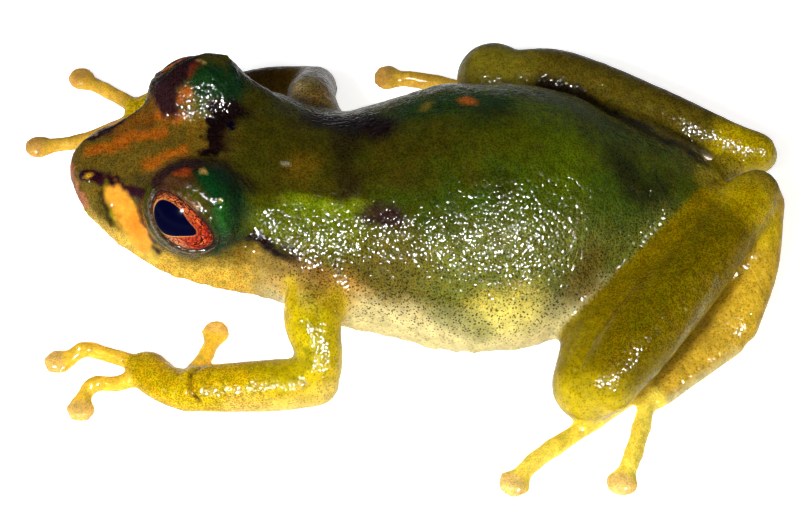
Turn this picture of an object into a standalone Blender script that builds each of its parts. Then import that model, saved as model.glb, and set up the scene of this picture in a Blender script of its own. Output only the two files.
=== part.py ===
# Rain frog, a still life-size model that sits on the floor with its head raised.
# Metres, +Z up. The frog faces -Y and its own left side is +X. The origin is on the floor
# under the middle of the whole animal.

import math

import bmesh
import bpy
import numpy as np
from mathutils import Matrix, Vector

for old in list(bpy.data.objects):
    bpy.data.objects.remove(old, do_unlink=True)

# Driving dimensions, in millimetres. MM turns a length into metres where a mesh is made.
# They are measured from a point on the spine, and MIDDLE_X and MIDDLE_Y, taken off as each
# mesh is made, put the origin under the middle of the whole animal.
MM = 0.001
GAP = 0.3
MIDDLE_X, MIDDLE_Y = 1.125, -0.108
SNOUT_Y = -17.5
NECK_Y = -6.6
VENT_Y = 17.0

# The trunk's long lines, each a few (y, value) knots from the snout to the vent
SPINE_X = [(-17.5, -0.8), (-8, -0.6), (-3, 0.5), (3, 0.5), (10, -0.3), (17, -1.3)]
BACK_Z = [(-17.5, 6.95), (-16.9, 7.3), (-15, 7.8), (-13, 8.4), (-10, 8.8), (-6.5, 8.7), (-3, 8.9),
          (1, 9.8), (5, 10.6), (9, 9.5), (12, 7.7), (15, 6.0), (17, 4.9)]
SIDE_Z = [(-17.5, 6.2), (-16.5, 5.4), (-14, 4.5), (-11, 3.9), (-7, 3.5), (-3, 2.9), (4, 2.7),
          (9, 2.8), (13, 3.4), (17, 4.2)]
BELLY_Z = [(-17.5, 5.6), (-16.9, 4.9), (-15, 3.8), (-12, 3.0), (-9, 2.4), (-6, 1.6), (-3.5, 0.6),
           (-1.5, -0.05), (9, -0.05), (12, 0.7), (15, 2.4), (17, 3.6)]
HALF_WIDTH = [(-17.5, 1.1), (-17.1, 1.9), (-16.4, 2.8), (-15, 3.95), (-13.3, 5.05), (-11.5, 5.7),
              (-8.4, 6.25), (-6, 6.3), (-3.5, 6.5), (-1, 7.0), (3, 8.1), (6, 8.2), (9, 7.4),
              (11.5, 5.4), (14, 3.6), (16, 2.2), (17, 1.3)]
ROUNDNESS = [(-17.5, 2.2), (-12, 2.1), (-9, 2.2), (-6.5, 2.35), (-5, 2.1), (-3.4, 1.9), (-1, 2.05),
             (2, 2.1), (4.2, 1.85), (8, 1.75), (12, 1.8), (17, 2.0)]

# The face: the eyes are balls that show through a slanting oval window between the lids
HEAD_X = -0.6
EYE_X, EYE_Y, EYE_Z = 3.9, -11.1, 7.6
EYE_RADIUS = 2.35
LID_RADII = (2.65, 2.8, 2.65)
LID_SHIFT = (-0.05, 0.25, 0.2)
WINDOW_LONG, WINDOW_SHORT = 2.1, 1.45
GAZE = (0.83, -0.25, 0.50)
WINDOW_SLANT = (0.567, 0.67, -0.476)
WINDOW_FLARE = [(1.0, 1.0), (3.4, 1.4)]
WINDOW_BACK, EYE_BACK = -1.1, -0.8
LID_TUBERCLES = [(4.0, -10.2, 10.3, 0.33), (5.05, -9.2, 9.6, 0.3)]
CANTHUS = [(0.9, -17.0, 6.85, 0.42), (2.0, -14.9, 7.25, 0.5), (3.0, -13.0, 7.9, 0.7)]
TEMPLE = [(3.7, -9.6, 7.7, 1.7), (3.7, -8.7, 7.6, 1.5), (3.75, -7.85, 7.35, 1.15)]
NOSTRIL = (1.15, -16.85, 7.15)
NOSTRIL_RADIUS = 0.16
LIP_GROOVE, LIP_DROP = 0.13, 0.25
JAW_ANGLE_Y = -8.4

# Limb joints, each (x, y, z, radius across, radius up), from the body outwards
UPPER_ARM = {
    "left": [(5.0, -4.0, 4.4, 1.6, 1.7), (7.6, -4.65, 4.0, 1.6, 1.6), (9.4, -4.25, 3.0, 1.2, 1.4),
             (10.1, -4.35, 2.4, 1.25, 1.3)],
    "right": [(-5.0, -4.6, 4.6, 1.6, 1.7), (-7.2, -5.0, 4.2, 1.5, 1.6), (-9.2, -4.9, 3.0, 1.3, 1.35),
              (-10.1, -4.8, 2.4, 1.25, 1.3)],
}
FOREARM = {
    "left": [(10.3, -4.5, 1.9, 1.3, 1.25), (10.35, -6.6, 1.7, 1.4, 1.35), (10.3, -8.8, 1.45, 1.35, 1.25),
             (10.15, -10.9, 1.15, 1.3, 1.1)],
    "right": [(-10.4, -4.8, 2.0, 1.3, 1.25), (-10.5, -7.2, 1.7, 1.4, 1.35), (-10.45, -9.3, 1.4, 1.25, 1.2),
              (-10.4, -11.3, 1.1, 1.15, 1.0)],
}
PALM = {
    "left": [(10.15, -11.1, 0.97, 1.25, 1.0), (9.6, -12.4, 0.82, 1.1, 0.85), (8.5, -13.5, 0.67, 1.2, 0.7),
             (8.3, -14.0, 0.57, 1.0, 0.6)],
    "right": [(-10.3, -11.6, 0.97, 1.15, 1.0), (-10.2, -12.9, 0.82, 1.25, 0.85), (-9.9, -14.2, 0.67, 1.2, 0.7),
              (-9.8, -14.9, 0.57, 0.9, 0.6)],
}
FINGERS = {
    "left": {
        1: [(9.6, -11.2, 0.5), (9.1, -10.2, 0.45), (8.7, -9.2, 0.4)],
        2: [(8.6, -11.1, 0.65), (7.6, -10.45, 0.55), (5.15, -9.75, 0.4)],
        3: [(8.0, -13.8, 0.6), (7.5, -15.4, 0.6), (7.0, -16.8, 0.55), (7.5, -17.6, 0.45), (7.95, -18.8, 0.4)],
        4: [(9.0, -13.8, 0.6), (9.35, -15.1, 0.55), (9.35, -16.2, 0.55), (10.2, -16.75, 0.45), (11.55, -16.9, 0.4)],
    },
    "right": {
        1: [(-9.6, -11.9, 0.5), (-8.9, -11.0, 0.45), (-8.4, -10.1, 0.4)],
        2: [(-9.3, -12.4, 0.6), (-7.8, -12.2, 0.55), (-6.8, -11.8, 0.4)],
        3: [(-9.5, -14.6, 0.6), (-8.5, -16.4, 0.55), (-7.75, -18.1, 0.5), (-7.45, -20.75, 0.4)],
        4: [(-10.2, -14.6, 0.6), (-11.2, -16.0, 0.55), (-12.0, -17.1, 0.5), (-13.0, -18.5, 0.4)],
    },
}
THIGH = {
    "left": [(0.4, 15.9, 3.8, 2.1, 2.0), (4.2, 14.2, 3.1, 2.2, 2.1), (8.0, 11.2, 2.75, 2.5, 1.9),
             (10.8, 9.8, 2.3, 2.05, 2.0)],
    "right": [(-2.4, 14.6, 3.8, 2.1, 2.0), (-5.6, 11.4, 3.2, 2.2, 2.1), (-8.4, 7.4, 2.8, 2.0, 2.0),
              (-10.1, 5.1, 3.1, 2.1, 2.1)],
}
SHANK = {
    "left": [(11.2, 10.6, 3.0, 1.7, 1.8), (8.6, 12.5, 3.7, 2.0, 1.9), (4.6, 15.6, 4.2, 1.8, 1.75),
             (0.4, 18.2, 4.25, 1.6, 1.5), (-1.0, 19.1, 4.1, 1.3, 1.2)],
    "right": [(-9.8, 6.0, 3.5, 1.6, 1.6), (-9.1, 8.8, 3.8, 1.85, 1.85), (-6.9, 13.4, 3.85, 1.6, 1.65),
              (-4.9, 17.9, 3.75, 1.05, 1.1), (-4.25, 19.3, 3.7, 1.05, 1.05)],
}
TARSUS = {
    "left": [(-0.8, 19.6, 3.4, 1.05, 1.05), (2.6, 18.9, 2.2, 1.3, 1.15), (5.7, 17.5, 1.1, 1.55, 1.05)],
    "right": [(-4.5, 19.5, 3.1, 1.0, 1.0), (-6.5, 17.3, 2.0, 1.05, 1.0), (-9.5, 14.2, 1.1, 1.15, 1.05)],
}
FOOT = {
    "left": [(6.2, 17.1, 0.87, 1.5, 0.9), (8.1, 14.9, 0.72, 1.45, 0.75), (9.9, 12.9, 0.57, 1.35, 0.6)],
    "right": [(-10.1, 13.5, 0.87, 1.2, 0.9), (-11.0, 10.9, 0.72, 1.3, 0.75), (-11.5, 8.4, 0.57, 1.3, 0.6)],
}
TOES = {
    "left": {
        1: [(8.8, 12.8, 0.5), (7.7, 12.9, 0.5), (6.4, 13.0, 0.4)],
        2: [(9.1, 12.6, 0.5), (8.1, 11.8, 0.5), (7.2, 11.1, 0.4)],
        3: [(9.6, 12.3, 0.55), (8.9, 10.8, 0.5), (8.2, 9.3, 0.4)],
        4: [(10.1, 12.2, 0.6), (12.3, 9.5, 0.55), (14.1, 7.3, 0.55), (14.9, 6.5, 0.45), (16.3, 5.45, 0.4)],
        5: [(10.8, 12.9, 0.6), (12.8, 12.4, 0.55), (14.2, 12.0, 0.5), (16.35, 11.2, 0.4)],
    },
    "right": {
        1: [(-10.7, 8.0, 0.5), (-9.6, 7.6, 0.5), (-8.6, 7.3, 0.4)],
        2: [(-11.0, 7.6, 0.5), (-10.0, 6.2, 0.5), (-9.2, 5.2, 0.4)],
        3: [(-11.3, 7.5, 0.55), (-10.7, 5.2, 0.5), (-10.1, 3.2, 0.4)],
        4: [(-11.6, 7.4, 0.6), (-11.7, 3.6, 0.55), (-12.3, 1.4, 0.5), (-12.85, -1.42, 0.4)],
        5: [(-12.2, 7.9, 0.6), (-13.2, 6.2, 0.55), (-13.8, 4.9, 0.4)],
    },
}
# Fingers and toes are slim tubes that end in broad flat pads. The pad's outline gives how far
# back from the tip, and how wide, as shares of the pad's length and of its half width.
FINGER_RADIUS, TOE_RADIUS = 0.42, 0.5
FINGER_PAD, TOE_PAD = 0.78, 0.9
PAD_LENGTH, PAD_THICK = 1.5, 0.38
PAD_OUTLINE = [(1.0, 0.56), (0.7, 0.8), (0.42, 1.0), (0.2, 0.82)]
SOLE_SINK = 0.04
WELD = 0.002


def material(name, colour, roughness):
    made = bpy.data.materials.new(name)
    made.use_nodes = True
    shader = made.node_tree.nodes["Principled BSDF"]
    shader.inputs["Base Color"].default_value = (*colour, 1)
    shader.inputs["Roughness"].default_value = roughness
    shader.inputs["Metallic"].default_value = 0.0
    return made


BODY_SKIN = material("olive_skin", (0.10, 0.14, 0.02), 0.3)
LIMB_SKIN = material("yellow_olive_skin", (0.33, 0.28, 0.03), 0.35)
DIGIT_SKIN = material("yellow_skin", (0.62, 0.50, 0.10), 0.35)
EYE = material("copper_eye", (0.30, 0.07, 0.02), 0.05)


def knots(table, y):
    """Height or width of a long line at y, on a smooth curve that doesn't overshoot its knots."""
    ys = [k[0] for k in table]
    vs = [k[1] for k in table]
    if y <= ys[0]:
        return vs[0]
    if y >= ys[-1]:
        return vs[-1]
    steps = [(vs[i + 1] - vs[i]) / (ys[i + 1] - ys[i]) for i in range(len(ys) - 1)]
    slopes = [steps[0]]
    for before, after in zip(steps, steps[1:]):
        slopes.append(0.0 if before * after <= 0 else 2 * before * after / (before + after))
    slopes.append(steps[-1])
    i = max(k for k in range(len(ys) - 1) if ys[k] <= y)
    span = ys[i + 1] - ys[i]
    t = (y - ys[i]) / span
    ends = vs[i] * (2 * t**3 - 3 * t**2 + 1) + vs[i + 1] * (3 * t**2 - 2 * t**3)
    lean = span * (slopes[i] * (t**3 - 2 * t**2 + t) + slopes[i + 1] * (t**3 - t**2))
    return ends + lean


def smooth_path(points, per_span):
    """Catmull-Rom curve through rows of any number of values, with even steps in each span."""
    rows = [np.array(p, float) for p in points]
    rows = [2 * rows[0] - rows[1]] + rows + [2 * rows[-1] - rows[-2]]
    curve = []
    for i in range(1, len(rows) - 2):
        p0, p1, p2, p3 = rows[i - 1:i + 3]
        for k in range(per_span):
            t = k / per_span
            curve.append(0.5 * (2 * p1 + (p2 - p0) * t + (2 * p0 - 5 * p1 + 4 * p2 - p3) * t**2
                                + (3 * p1 - p0 - 3 * p2 + p3) * t**3))
    curve.append(rows[-2])
    return curve


def add_object(name, bm):
    bmesh.ops.recalc_face_normals(bm, faces=bm.faces)
    bmesh.ops.translate(bm, vec=(-MIDDLE_X * MM, -MIDDLE_Y * MM, 0), verts=bm.verts)
    mesh = bpy.data.meshes.new(name)
    bm.to_mesh(mesh)
    bm.free()
    mesh.shade_smooth()
    piece = bpy.data.objects.new(name, mesh)
    bpy.context.scene.collection.objects.link(piece)
    return piece


def skinned(name, rings, start=None, end=None):
    """A closed mesh bridged over rings of points, each end drawn to a pole or filled flat."""
    bm = bmesh.new()
    loops = [[bm.verts.new(Vector(p) * MM) for p in ring] for ring in rings]
    count = len(rings[0])
    for a, b in zip(loops, loops[1:]):
        for i in range(count):
            j = (i + 1) % count
            bm.faces.new((a[i], a[j], b[j], b[i]))
    for loop, pole in ((loops[0], start), (loops[-1], end)):
        if pole is None:
            bm.faces.new(loop)
            continue
        tip = bm.verts.new(Vector(pole) * MM)
        for i in range(count):
            bm.faces.new((loop[i], loop[(i + 1) % count], tip))
    return add_object(name, bm)


def trunk_rings(start, end, stations, sides=26, grow=0.0):
    """Sections across the spine: a flat-sided dome above the widest line, a half oval below."""
    rings = []
    for s in range(stations + 1):
        y = start + (end - start) * s / stations
        middle = knots(SPINE_X, y)
        side = knots(SIDE_Z, y)
        above = knots(BACK_Z, y) + grow - side
        below = side - knots(BELLY_Z, y) + grow
        half = knots(HALF_WIDTH, y) + grow
        power = 2.0 / knots(ROUNDNESS, y)
        ring = []
        for i in range(sides):
            a = 2 * math.pi * (i + 0.5) / sides
            across, up = math.cos(a), math.sin(a)
            if up > 0:
                across = math.copysign(abs(across) ** power, across)
                ring.append((middle + across * half, y, side + up**power * above))
            else:
                ring.append((middle + across * half, y, side + up * below))
        rings.append(ring)
    return rings


def ball(name, centre, radii, segments=16, rows=10):
    bm = bmesh.new()
    bmesh.ops.create_uvsphere(bm, u_segments=segments, v_segments=rows, radius=1.0)
    size = Matrix.Diagonal((*(r * MM for r in radii), 1))
    bmesh.ops.transform(bm, matrix=Matrix.Translation(Vector(centre) * MM) @ size, verts=bm.verts)
    return add_object(name, bm)


def limb(name, points, sides=12, per_span=3, grow=0.0):
    """A tube through rows (x, y, z, radius across, radius up), rounded off at both ends."""
    path = smooth_path(points, per_span)
    dome = [(0.85, 0.52), (0.5, 0.86)]
    rings, poles = [], []
    for k, row in enumerate(path):
        centre = Vector(row[:3])
        along = Vector(path[min(k + 1, len(path) - 1)][:3] - path[max(k - 1, 0)][:3]).normalized()
        across = along.cross(Vector((0, 0, 1))).normalized()
        up = across.cross(along).normalized()
        wide, tall = row[3] + grow, row[4] + grow
        reach = min(wide, tall)
        steps = [(0.0, 1.0)]
        if k == 0:
            steps = [(-shift, size) for shift, size in dome] + steps
            poles.append(centre - along * reach)
        if k == len(path) - 1:
            steps = steps + dome[::-1]
            poles.append(centre + along * reach)
        for shift, size in steps:
            hub = centre + along * shift * reach
            turns = [2 * math.pi * (i + 0.5) / sides for i in range(sides)]
            rings.append([hub + (across * math.cos(a) * wide + up * math.sin(a) * tall) * size
                          for a in turns])
    return skinned(name, rings, *poles)


def digit(name, points, radius, pad, grow=0.0):
    """A finger or toe through (x, y, z) points, the last of them the far edge of its pad."""
    curve = np.array(smooth_path(points, 8))
    run = np.concatenate([[0.0], np.cumsum(np.linalg.norm(np.diff(curve, axis=0), axis=1))])
    length = run[-1]
    shaft = length - PAD_LENGTH
    count = max(2, round(shaft / 0.8))
    rows = [(shaft * k / count, radius, radius) for k in range(count)]
    rows += [(length - back * PAD_LENGTH, wide * pad, PAD_THICK) for back, wide in PAD_OUTLINE]
    placed = []
    for along, wide, tall in rows:
        x, y, z = (float(np.interp(along, run, curve[:, i])) for i in range(3))
        resting = tall - SOLE_SINK
        placed.append((x, y, resting if along > shaft else max(z, resting), wide, tall))
    return limb(name, placed, sides=8, per_span=1, grow=grow)


def floor_block():
    """A block whose top is the floor. It leaves a small flat under whatever it cuts."""
    bm = bmesh.new()
    bmesh.ops.create_cube(bm, size=1.0)
    place = Matrix.Translation((0, 0, -5 * MM)) @ Matrix.Diagonal((80 * MM, 80 * MM, 10 * MM, 1))
    bmesh.ops.transform(bm, matrix=place, verts=bm.verts)
    return add_object("floor", bm)


def keep_largest(mesh):
    """Welds and triangulates a mesh and keeps the closed surface with the most faces."""
    bm = bmesh.new()
    bm.from_mesh(mesh)
    bmesh.ops.remove_doubles(bm, verts=bm.verts, dist=WELD * MM)
    bmesh.ops.dissolve_degenerate(bm, edges=bm.edges, dist=WELD * MM)
    bmesh.ops.triangulate(bm, faces=bm.faces)
    unseen = set(bm.faces)
    shells = []
    while unseen:
        shell = [unseen.pop()]
        for face in shell:
            for edge in face.edges:
                for other in edge.link_faces:
                    if other in unseen:
                        unseen.discard(other)
                        shell.append(other)
        shells.append(shell)
    shells.sort(key=len)
    scraps = [face for shell in shells[:-1] for face in shell]
    bmesh.ops.delete(bm, geom=scraps, context="FACES")
    bmesh.ops.delete(bm, geom=[v for v in bm.verts if not v.link_faces], context="VERTS")
    bm.to_mesh(mesh)
    bm.free()


def combine(piece, others, operation):
    """Joins other objects to a piece, cuts them from it or keeps what they share with it."""
    group = bpy.data.collections.new(piece.name + "_tools")
    for other in others:
        group.objects.link(other)
    step = piece.modifiers.new("shape", "BOOLEAN")
    step.operation = operation
    step.operand_type = "COLLECTION"
    step.collection = group
    step.solver = "EXACT"
    bpy.context.view_layer.update()
    seen = piece.evaluated_get(bpy.context.evaluated_depsgraph_get())
    shaped = bpy.data.meshes.new_from_object(seen)
    piece.modifiers.clear()
    keep_largest(shaped)
    shaped.shade_smooth()
    piece.data = shaped
    for other in others:
        bpy.data.objects.remove(other, do_unlink=True)
    bpy.data.collections.remove(group)


def eye_centre(side):
    return Vector((HEAD_X + side * EYE_X, EYE_Y, EYE_Z))


def eye_window(side, back, grow=0.0):
    """A slanting oval cone along the gaze, from inside the head out past the lids."""
    gaze = Vector((side * GAZE[0], *GAZE[1:])).normalized()
    slant = Vector((side * WINDOW_SLANT[0], *WINDOW_SLANT[1:]))
    slant = (slant - gaze * slant.dot(gaze)).normalized()
    short = gaze.cross(slant)
    turns = [2 * math.pi * i / 20 for i in range(20)]
    rings = []
    for depth, size in [(back, 0.6)] + WINDOW_FLARE:
        hub = eye_centre(side) + gaze * depth
        rings.append([hub + slant * math.cos(a) * (WINDOW_LONG * size + grow)
                      + short * math.sin(a) * (WINDOW_SHORT * size + grow) for a in turns])
    return skinned("window", rings)


def lip_groove():
    """A thin tube that follows the widest line of the jaw, from one corner round the snout."""
    near = []
    steps = 9
    for s in range(steps + 1):
        y = JAW_ANGLE_Y + (SNOUT_Y - JAW_ANGLE_Y) * s / steps
        near.append((y, knots(SIDE_Z, y) - LIP_DROP, knots(HALF_WIDTH, y)))
    rows = [(knots(SPINE_X, y) + half, y, z, LIP_GROOVE, LIP_GROOVE) for y, z, half in near]
    rows.append((knots(SPINE_X, SNOUT_Y), SNOUT_Y - 0.28, near[-1][1], LIP_GROOVE, LIP_GROOVE))
    rows += [(knots(SPINE_X, y) - half, y, z, LIP_GROOVE, LIP_GROOVE) for y, z, half in near[::-1]]
    return limb("lips", rows, sides=6, per_span=2)


def head():
    nose = (knots(SPINE_X, SNOUT_Y), SNOUT_Y - 0.3, knots(SIDE_Z, SNOUT_Y) + 0.1)
    piece = skinned("head", trunk_rings(SNOUT_Y, NECK_Y, 22), nose)
    forms = []
    for side in (-1, 1):
        middle = eye_centre(side) + Vector((side * LID_SHIFT[0], *LID_SHIFT[1:]))
        forms.append(ball("lid", middle, LID_RADII, segments=20, rows=14))
        ridge = [(HEAD_X + side * x, y, z, radius, radius) for x, y, z, radius in CANTHUS]
        forms.append(limb("canthus", ridge, sides=10))
        temple = [(HEAD_X + side * x, y, z, radius, radius) for x, y, z, radius in TEMPLE]
        forms.append(limb("temple", temple, sides=16))
        for x, y, z, radius in LID_TUBERCLES:
            forms.append(ball("tubercle", (HEAD_X + side * x, y, z), (radius,) * 3, 8, 6))
    combine(piece, forms, "UNION")
    cuts = [lip_groove()]
    for side in (-1, 1):
        cuts.append(eye_window(side, WINDOW_BACK, grow=GAP))
        centre = (HEAD_X + side * NOSTRIL[0], *NOSTRIL[1:])
        cuts.append(ball("nostril", centre, (NOSTRIL_RADIUS,) * 3, 8, 6))
    combine(piece, cuts, "DIFFERENCE")
    piece.data.materials.append(BODY_SKIN)


def eye(name, side):
    piece = ball(name, eye_centre(side), (EYE_RADIUS,) * 3, segments=24, rows=16)
    combine(piece, [eye_window(side, EYE_BACK)], "INTERSECT")
    piece.data.materials.append(EYE)


def torso(name, start, grow=0.0):
    tail = (knots(SPINE_X, VENT_Y), VENT_Y + 0.5 + grow, knots(SIDE_Z, VENT_Y) + 0.2)
    return skinned(name, trunk_rings(start, VENT_Y, 26, grow=grow), end=tail)


def cut_clear(piece, near):
    """Trims a piece to the floor and to its neighbours, each of them grown by the gap."""
    combine(piece, [floor_block()] + [shape("near", grow=GAP) for shape in near], "DIFFERENCE")


def limbs(side):
    def shaped(make, rows):
        return lambda name, grow=0.0: make(name, rows[side], grow=grow)

    body = [lambda name, grow=0.0: torso(name, NECK_Y - 1.0, grow=grow)]
    upper, fore, palm = shaped(limb, UPPER_ARM), shaped(limb, FOREARM), shaped(limb, PALM)
    thigh, shank = shaped(limb, THIGH), shaped(limb, SHANK)
    tarsus, foot = shaped(limb, TARSUS), shaped(limb, FOOT)
    for name, shape, near in (
        ("upper_arm", upper, body),
        ("forearm", fore, [upper]),
        ("hand", palm, [fore]),
        ("thigh", thigh, body),
        ("shank", shank, body + [thigh]),
        ("tarsus", tarsus, body + [thigh, shank]),
        ("foot", foot, [shank, thigh, tarsus]),
    ):
        piece = shape(f"{name}_{side}")
        cut_clear(piece, near)
        piece.data.materials.append(LIMB_SKIN)
    for kind, radius, pad, rows, roots in (
        ("finger", FINGER_RADIUS, FINGER_PAD, FINGERS[side], [palm, fore]),
        ("toe", TOE_RADIUS, TOE_PAD, TOES[side], [foot, shank, thigh]),
    ):
        before = []
        for number, points in rows.items():
            piece = digit(f"{kind}_{side}_{number}", points, radius, pad)
            cut_clear(piece, roots + before)
            piece.data.materials.append(DIGIT_SKIN)
            before = [lambda name, grow, points=points: digit(name, points, radius, pad, grow)]


head()
eye("eye_left", 1)
eye("eye_right", -1)
back = torso("torso", NECK_Y + GAP)
cut_clear(back, [])
back.data.materials.append(BODY_SKIN)
limbs("left")
limbs("right")
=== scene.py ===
# A rain frog, modelled life-size and still, sitting on a pale floor. Lengths are millimetres until
# a mesh is made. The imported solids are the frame, and one skin stands for all of their flesh.

import math

import bmesh
import bpy
import numpy as np
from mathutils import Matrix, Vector, noise
from numpy.linalg import norm


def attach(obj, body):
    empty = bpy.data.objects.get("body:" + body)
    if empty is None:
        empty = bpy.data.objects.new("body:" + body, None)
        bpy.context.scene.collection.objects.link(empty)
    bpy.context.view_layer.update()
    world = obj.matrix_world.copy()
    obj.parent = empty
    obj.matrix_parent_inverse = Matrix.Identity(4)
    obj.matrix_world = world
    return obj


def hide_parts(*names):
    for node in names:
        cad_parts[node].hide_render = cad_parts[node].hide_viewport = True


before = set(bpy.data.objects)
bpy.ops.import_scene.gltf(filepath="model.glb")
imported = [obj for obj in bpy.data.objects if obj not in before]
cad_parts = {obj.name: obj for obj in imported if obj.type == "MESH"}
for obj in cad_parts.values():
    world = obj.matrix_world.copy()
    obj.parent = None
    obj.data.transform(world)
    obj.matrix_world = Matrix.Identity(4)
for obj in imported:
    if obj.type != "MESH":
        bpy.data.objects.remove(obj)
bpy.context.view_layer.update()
FLESH = sorted(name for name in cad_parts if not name.startswith("eye"))


# Trunk and head
# One soft body from the snout to the vent, widest at the flanks and humped over the hips. It is
# lofted over sections across a bent spine, flat-sided domes above and half ovals below.

MM = 0.001
MIDDLE = np.array([1.125, -0.108, 0.0])
SNOUT_Y, VENT_Y = -17.5, 17.0
TRUNK_SIDES, TRUNK_SECTIONS = 80, 120
SPINE_X = [(-17.5, -0.8), (-8, -0.6), (-3, 0.5), (3, 0.5), (10, -0.3), (17, -1.3)]
BACK_Z = [(-17.5, 6.95), (-16.9, 7.3), (-15, 7.8), (-13, 8.4), (-10, 8.8), (-6.5, 8.7), (-3, 8.9),
          (1, 9.8), (5, 10.6), (9, 9.5), (12, 7.7), (15, 6.0), (17, 4.9)]
SIDE_Z = [(-17.5, 6.2), (-16.5, 5.4), (-14, 4.5), (-11, 3.9), (-7, 3.5), (-3, 2.9), (4, 2.7),
          (9, 2.8), (13, 3.4), (17, 4.2)]
BELLY_Z = [(-17.5, 5.6), (-16.9, 4.9), (-15, 3.8), (-12, 3.0), (-9, 2.4), (-6, 1.6), (-3.5, 0.6),
           (-1.5, 0.0), (9, 0.0), (12, 0.7), (15, 2.4), (17, 3.6)]
HALF_WIDTH = [(-17.5, 1.1), (-17.1, 1.9), (-16.4, 2.8), (-15, 3.95), (-13.3, 5.05), (-11.5, 5.7),
              (-8.4, 6.25), (-6, 6.3), (-3.5, 6.5), (-1, 7.0), (3, 8.1), (6, 8.2), (9, 7.4),
              (11.5, 5.4), (14, 3.6), (16, 2.2), (17, 1.3)]
ROUNDNESS = [(-17.5, 2.2), (-12, 2.1), (-9, 2.2), (-6.5, 2.35), (-5, 2.1), (-3.4, 1.9), (-1, 2.05),
             (2, 2.1), (4.2, 1.85), (8, 1.75), (12, 1.8), (17, 2.0)]


def along(table, y):
    """Value of a long line at y, on a smooth curve that doesn't overshoot its knots."""
    ys, values = np.array(table, float).T
    steps = np.diff(values) / np.diff(ys)
    slopes = np.concatenate([steps[:1], np.zeros(len(steps) - 1), steps[-1:]])
    both = steps[:-1] * steps[1:]
    same = both > 0
    slopes[1:-1][same] = 2 * both[same] / (steps[:-1] + steps[1:])[same]
    y = np.clip(y, ys[0], ys[-1])
    i = np.clip(np.searchsorted(ys, y, side="right") - 1, 0, len(ys) - 2)
    span = ys[i + 1] - ys[i]
    t = (y - ys[i]) / span
    ends = values[i] * (2 * t**3 - 3 * t**2 + 1) + values[i + 1] * (3 * t**2 - 2 * t**3)
    lean = span * (slopes[i] * (t**3 - 2 * t**2 + t) + slopes[i + 1] * (t**3 - t**2))
    return ends + lean


def placed(name, data):
    """A new object in the scene, made of a mesh, a lamp or a lens."""
    made = bpy.data.objects.new(name, data)
    bpy.context.scene.collection.objects.link(made)
    return made


def loft(name, rings, start, end):
    """A closed mesh over rings of points, drawn to a pole at each end."""
    rings = np.array(rings, float)
    count, sides = rings.shape[:2]
    places = np.concatenate([rings.reshape(-1, 3), [start, end]])
    faces = []
    for i in range(sides):
        j = (i + 1) % sides
        for k in range(0, (count - 1) * sides, sides):
            faces.append((k + i, k + j, k + sides + j, k + sides + i))
        faces.append((j, i, count * sides))
        faces.append(((count - 1) * sides + i, (count - 1) * sides + j, count * sides + 1))
    mesh = bpy.data.meshes.new(name)
    mesh.from_pydata(((places - MIDDLE) * MM).tolist(), [], faces)
    return placed(name, mesh)


def trunk():
    turns = 2 * np.pi * (np.arange(TRUNK_SIDES) + 0.5) / TRUNK_SIDES
    across, up = np.cos(turns), np.sin(turns)
    rings = []
    for y in np.linspace(SNOUT_Y, VENT_Y, TRUNK_SECTIONS):
        side, half = along(SIDE_Z, y), along(HALF_WIDTH, y)
        power = 2.0 / along(ROUNDNESS, y)
        wide = np.where(up > 0, np.sign(across) * np.abs(across) ** power, across)
        tall = np.where(up > 0, np.abs(up) ** power * (along(BACK_Z, y) - side),
                        up * (side - along(BELLY_Z, y)))
        level = np.full(TRUNK_SIDES, y)
        rings.append(np.stack([along(SPINE_X, y) + wide * half, level, side + tall], 1))
    nose = (along(SPINE_X, SNOUT_Y), SNOUT_Y - 0.3, along(SIDE_Z, SNOUT_Y) + 0.1)
    vent = (along(SPINE_X, VENT_Y), VENT_Y + 0.5, along(SIDE_Z, VENT_Y) + 0.2)
    return loft("trunk", rings, nose, vent)


# Eyes and snout forms
# The eyes bulge under thick warty lids, each open in a slanting oval, and a blunt ridge runs from
# the lid to the nostril. Lids and their warts are balls, and ridges and temples are short tubes.

HEAD_X = -0.6
EYE_PLACE = (3.9, -11.1, 7.6)
EYE_RADIUS = 2.35
LID_RADII = (2.65, 2.8, 2.65)
LID_SHIFT = (-0.05, 0.25, 0.2)
GAZE = (0.83, -0.25, 0.50)
WINDOW_SLANT = (0.567, 0.67, -0.476)
LID_WARTS = [(3.4, -10.2, 10.15, 0.3), (4.95, -9.35, 9.75, 0.27), (4.2, -8.9, 9.7, 0.18)]
CANTHUS = [(0.9, -17.0, 6.85, 0.42), (2.0, -14.9, 7.25, 0.5), (3.0, -13.0, 7.9, 0.7)]
TEMPLE = [(3.7, -9.6, 7.7, 1.7), (3.7, -8.7, 7.6, 1.5), (3.75, -7.85, 7.35, 1.15)]
CAP_ANGLES = (82, 70, 55, 38, 20)


def ball(name, centre, radii, rings=24):
    rows = []
    for lean in np.linspace(0, np.pi, rings + 1)[1:-1]:
        turns = 2 * np.pi * np.arange(2 * rings) / (2 * rings)
        around = np.stack([np.sin(lean) * np.cos(turns), np.sin(lean) * np.sin(turns),
                           np.full(2 * rings, -np.cos(lean))], 1)
        rows.append(around * radii + centre)
    top = np.array(centre, float) + (0, 0, radii[2])
    low = np.array(centre, float) - (0, 0, radii[2])
    return loft(name, rows, low, top)


def eye_frame(side):
    """Centre of an eye, its line of sight, and the long and short directions of its opening."""
    turned = np.array([side, 1, 1])
    centre = turned * EYE_PLACE + (HEAD_X, 0, 0)
    gaze = turned * GAZE
    gaze /= norm(gaze)
    slant = turned * WINDOW_SLANT
    slant -= gaze * (slant @ gaze)
    slant /= norm(slant)
    return centre, gaze, slant, np.cross(gaze, slant) * side


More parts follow.
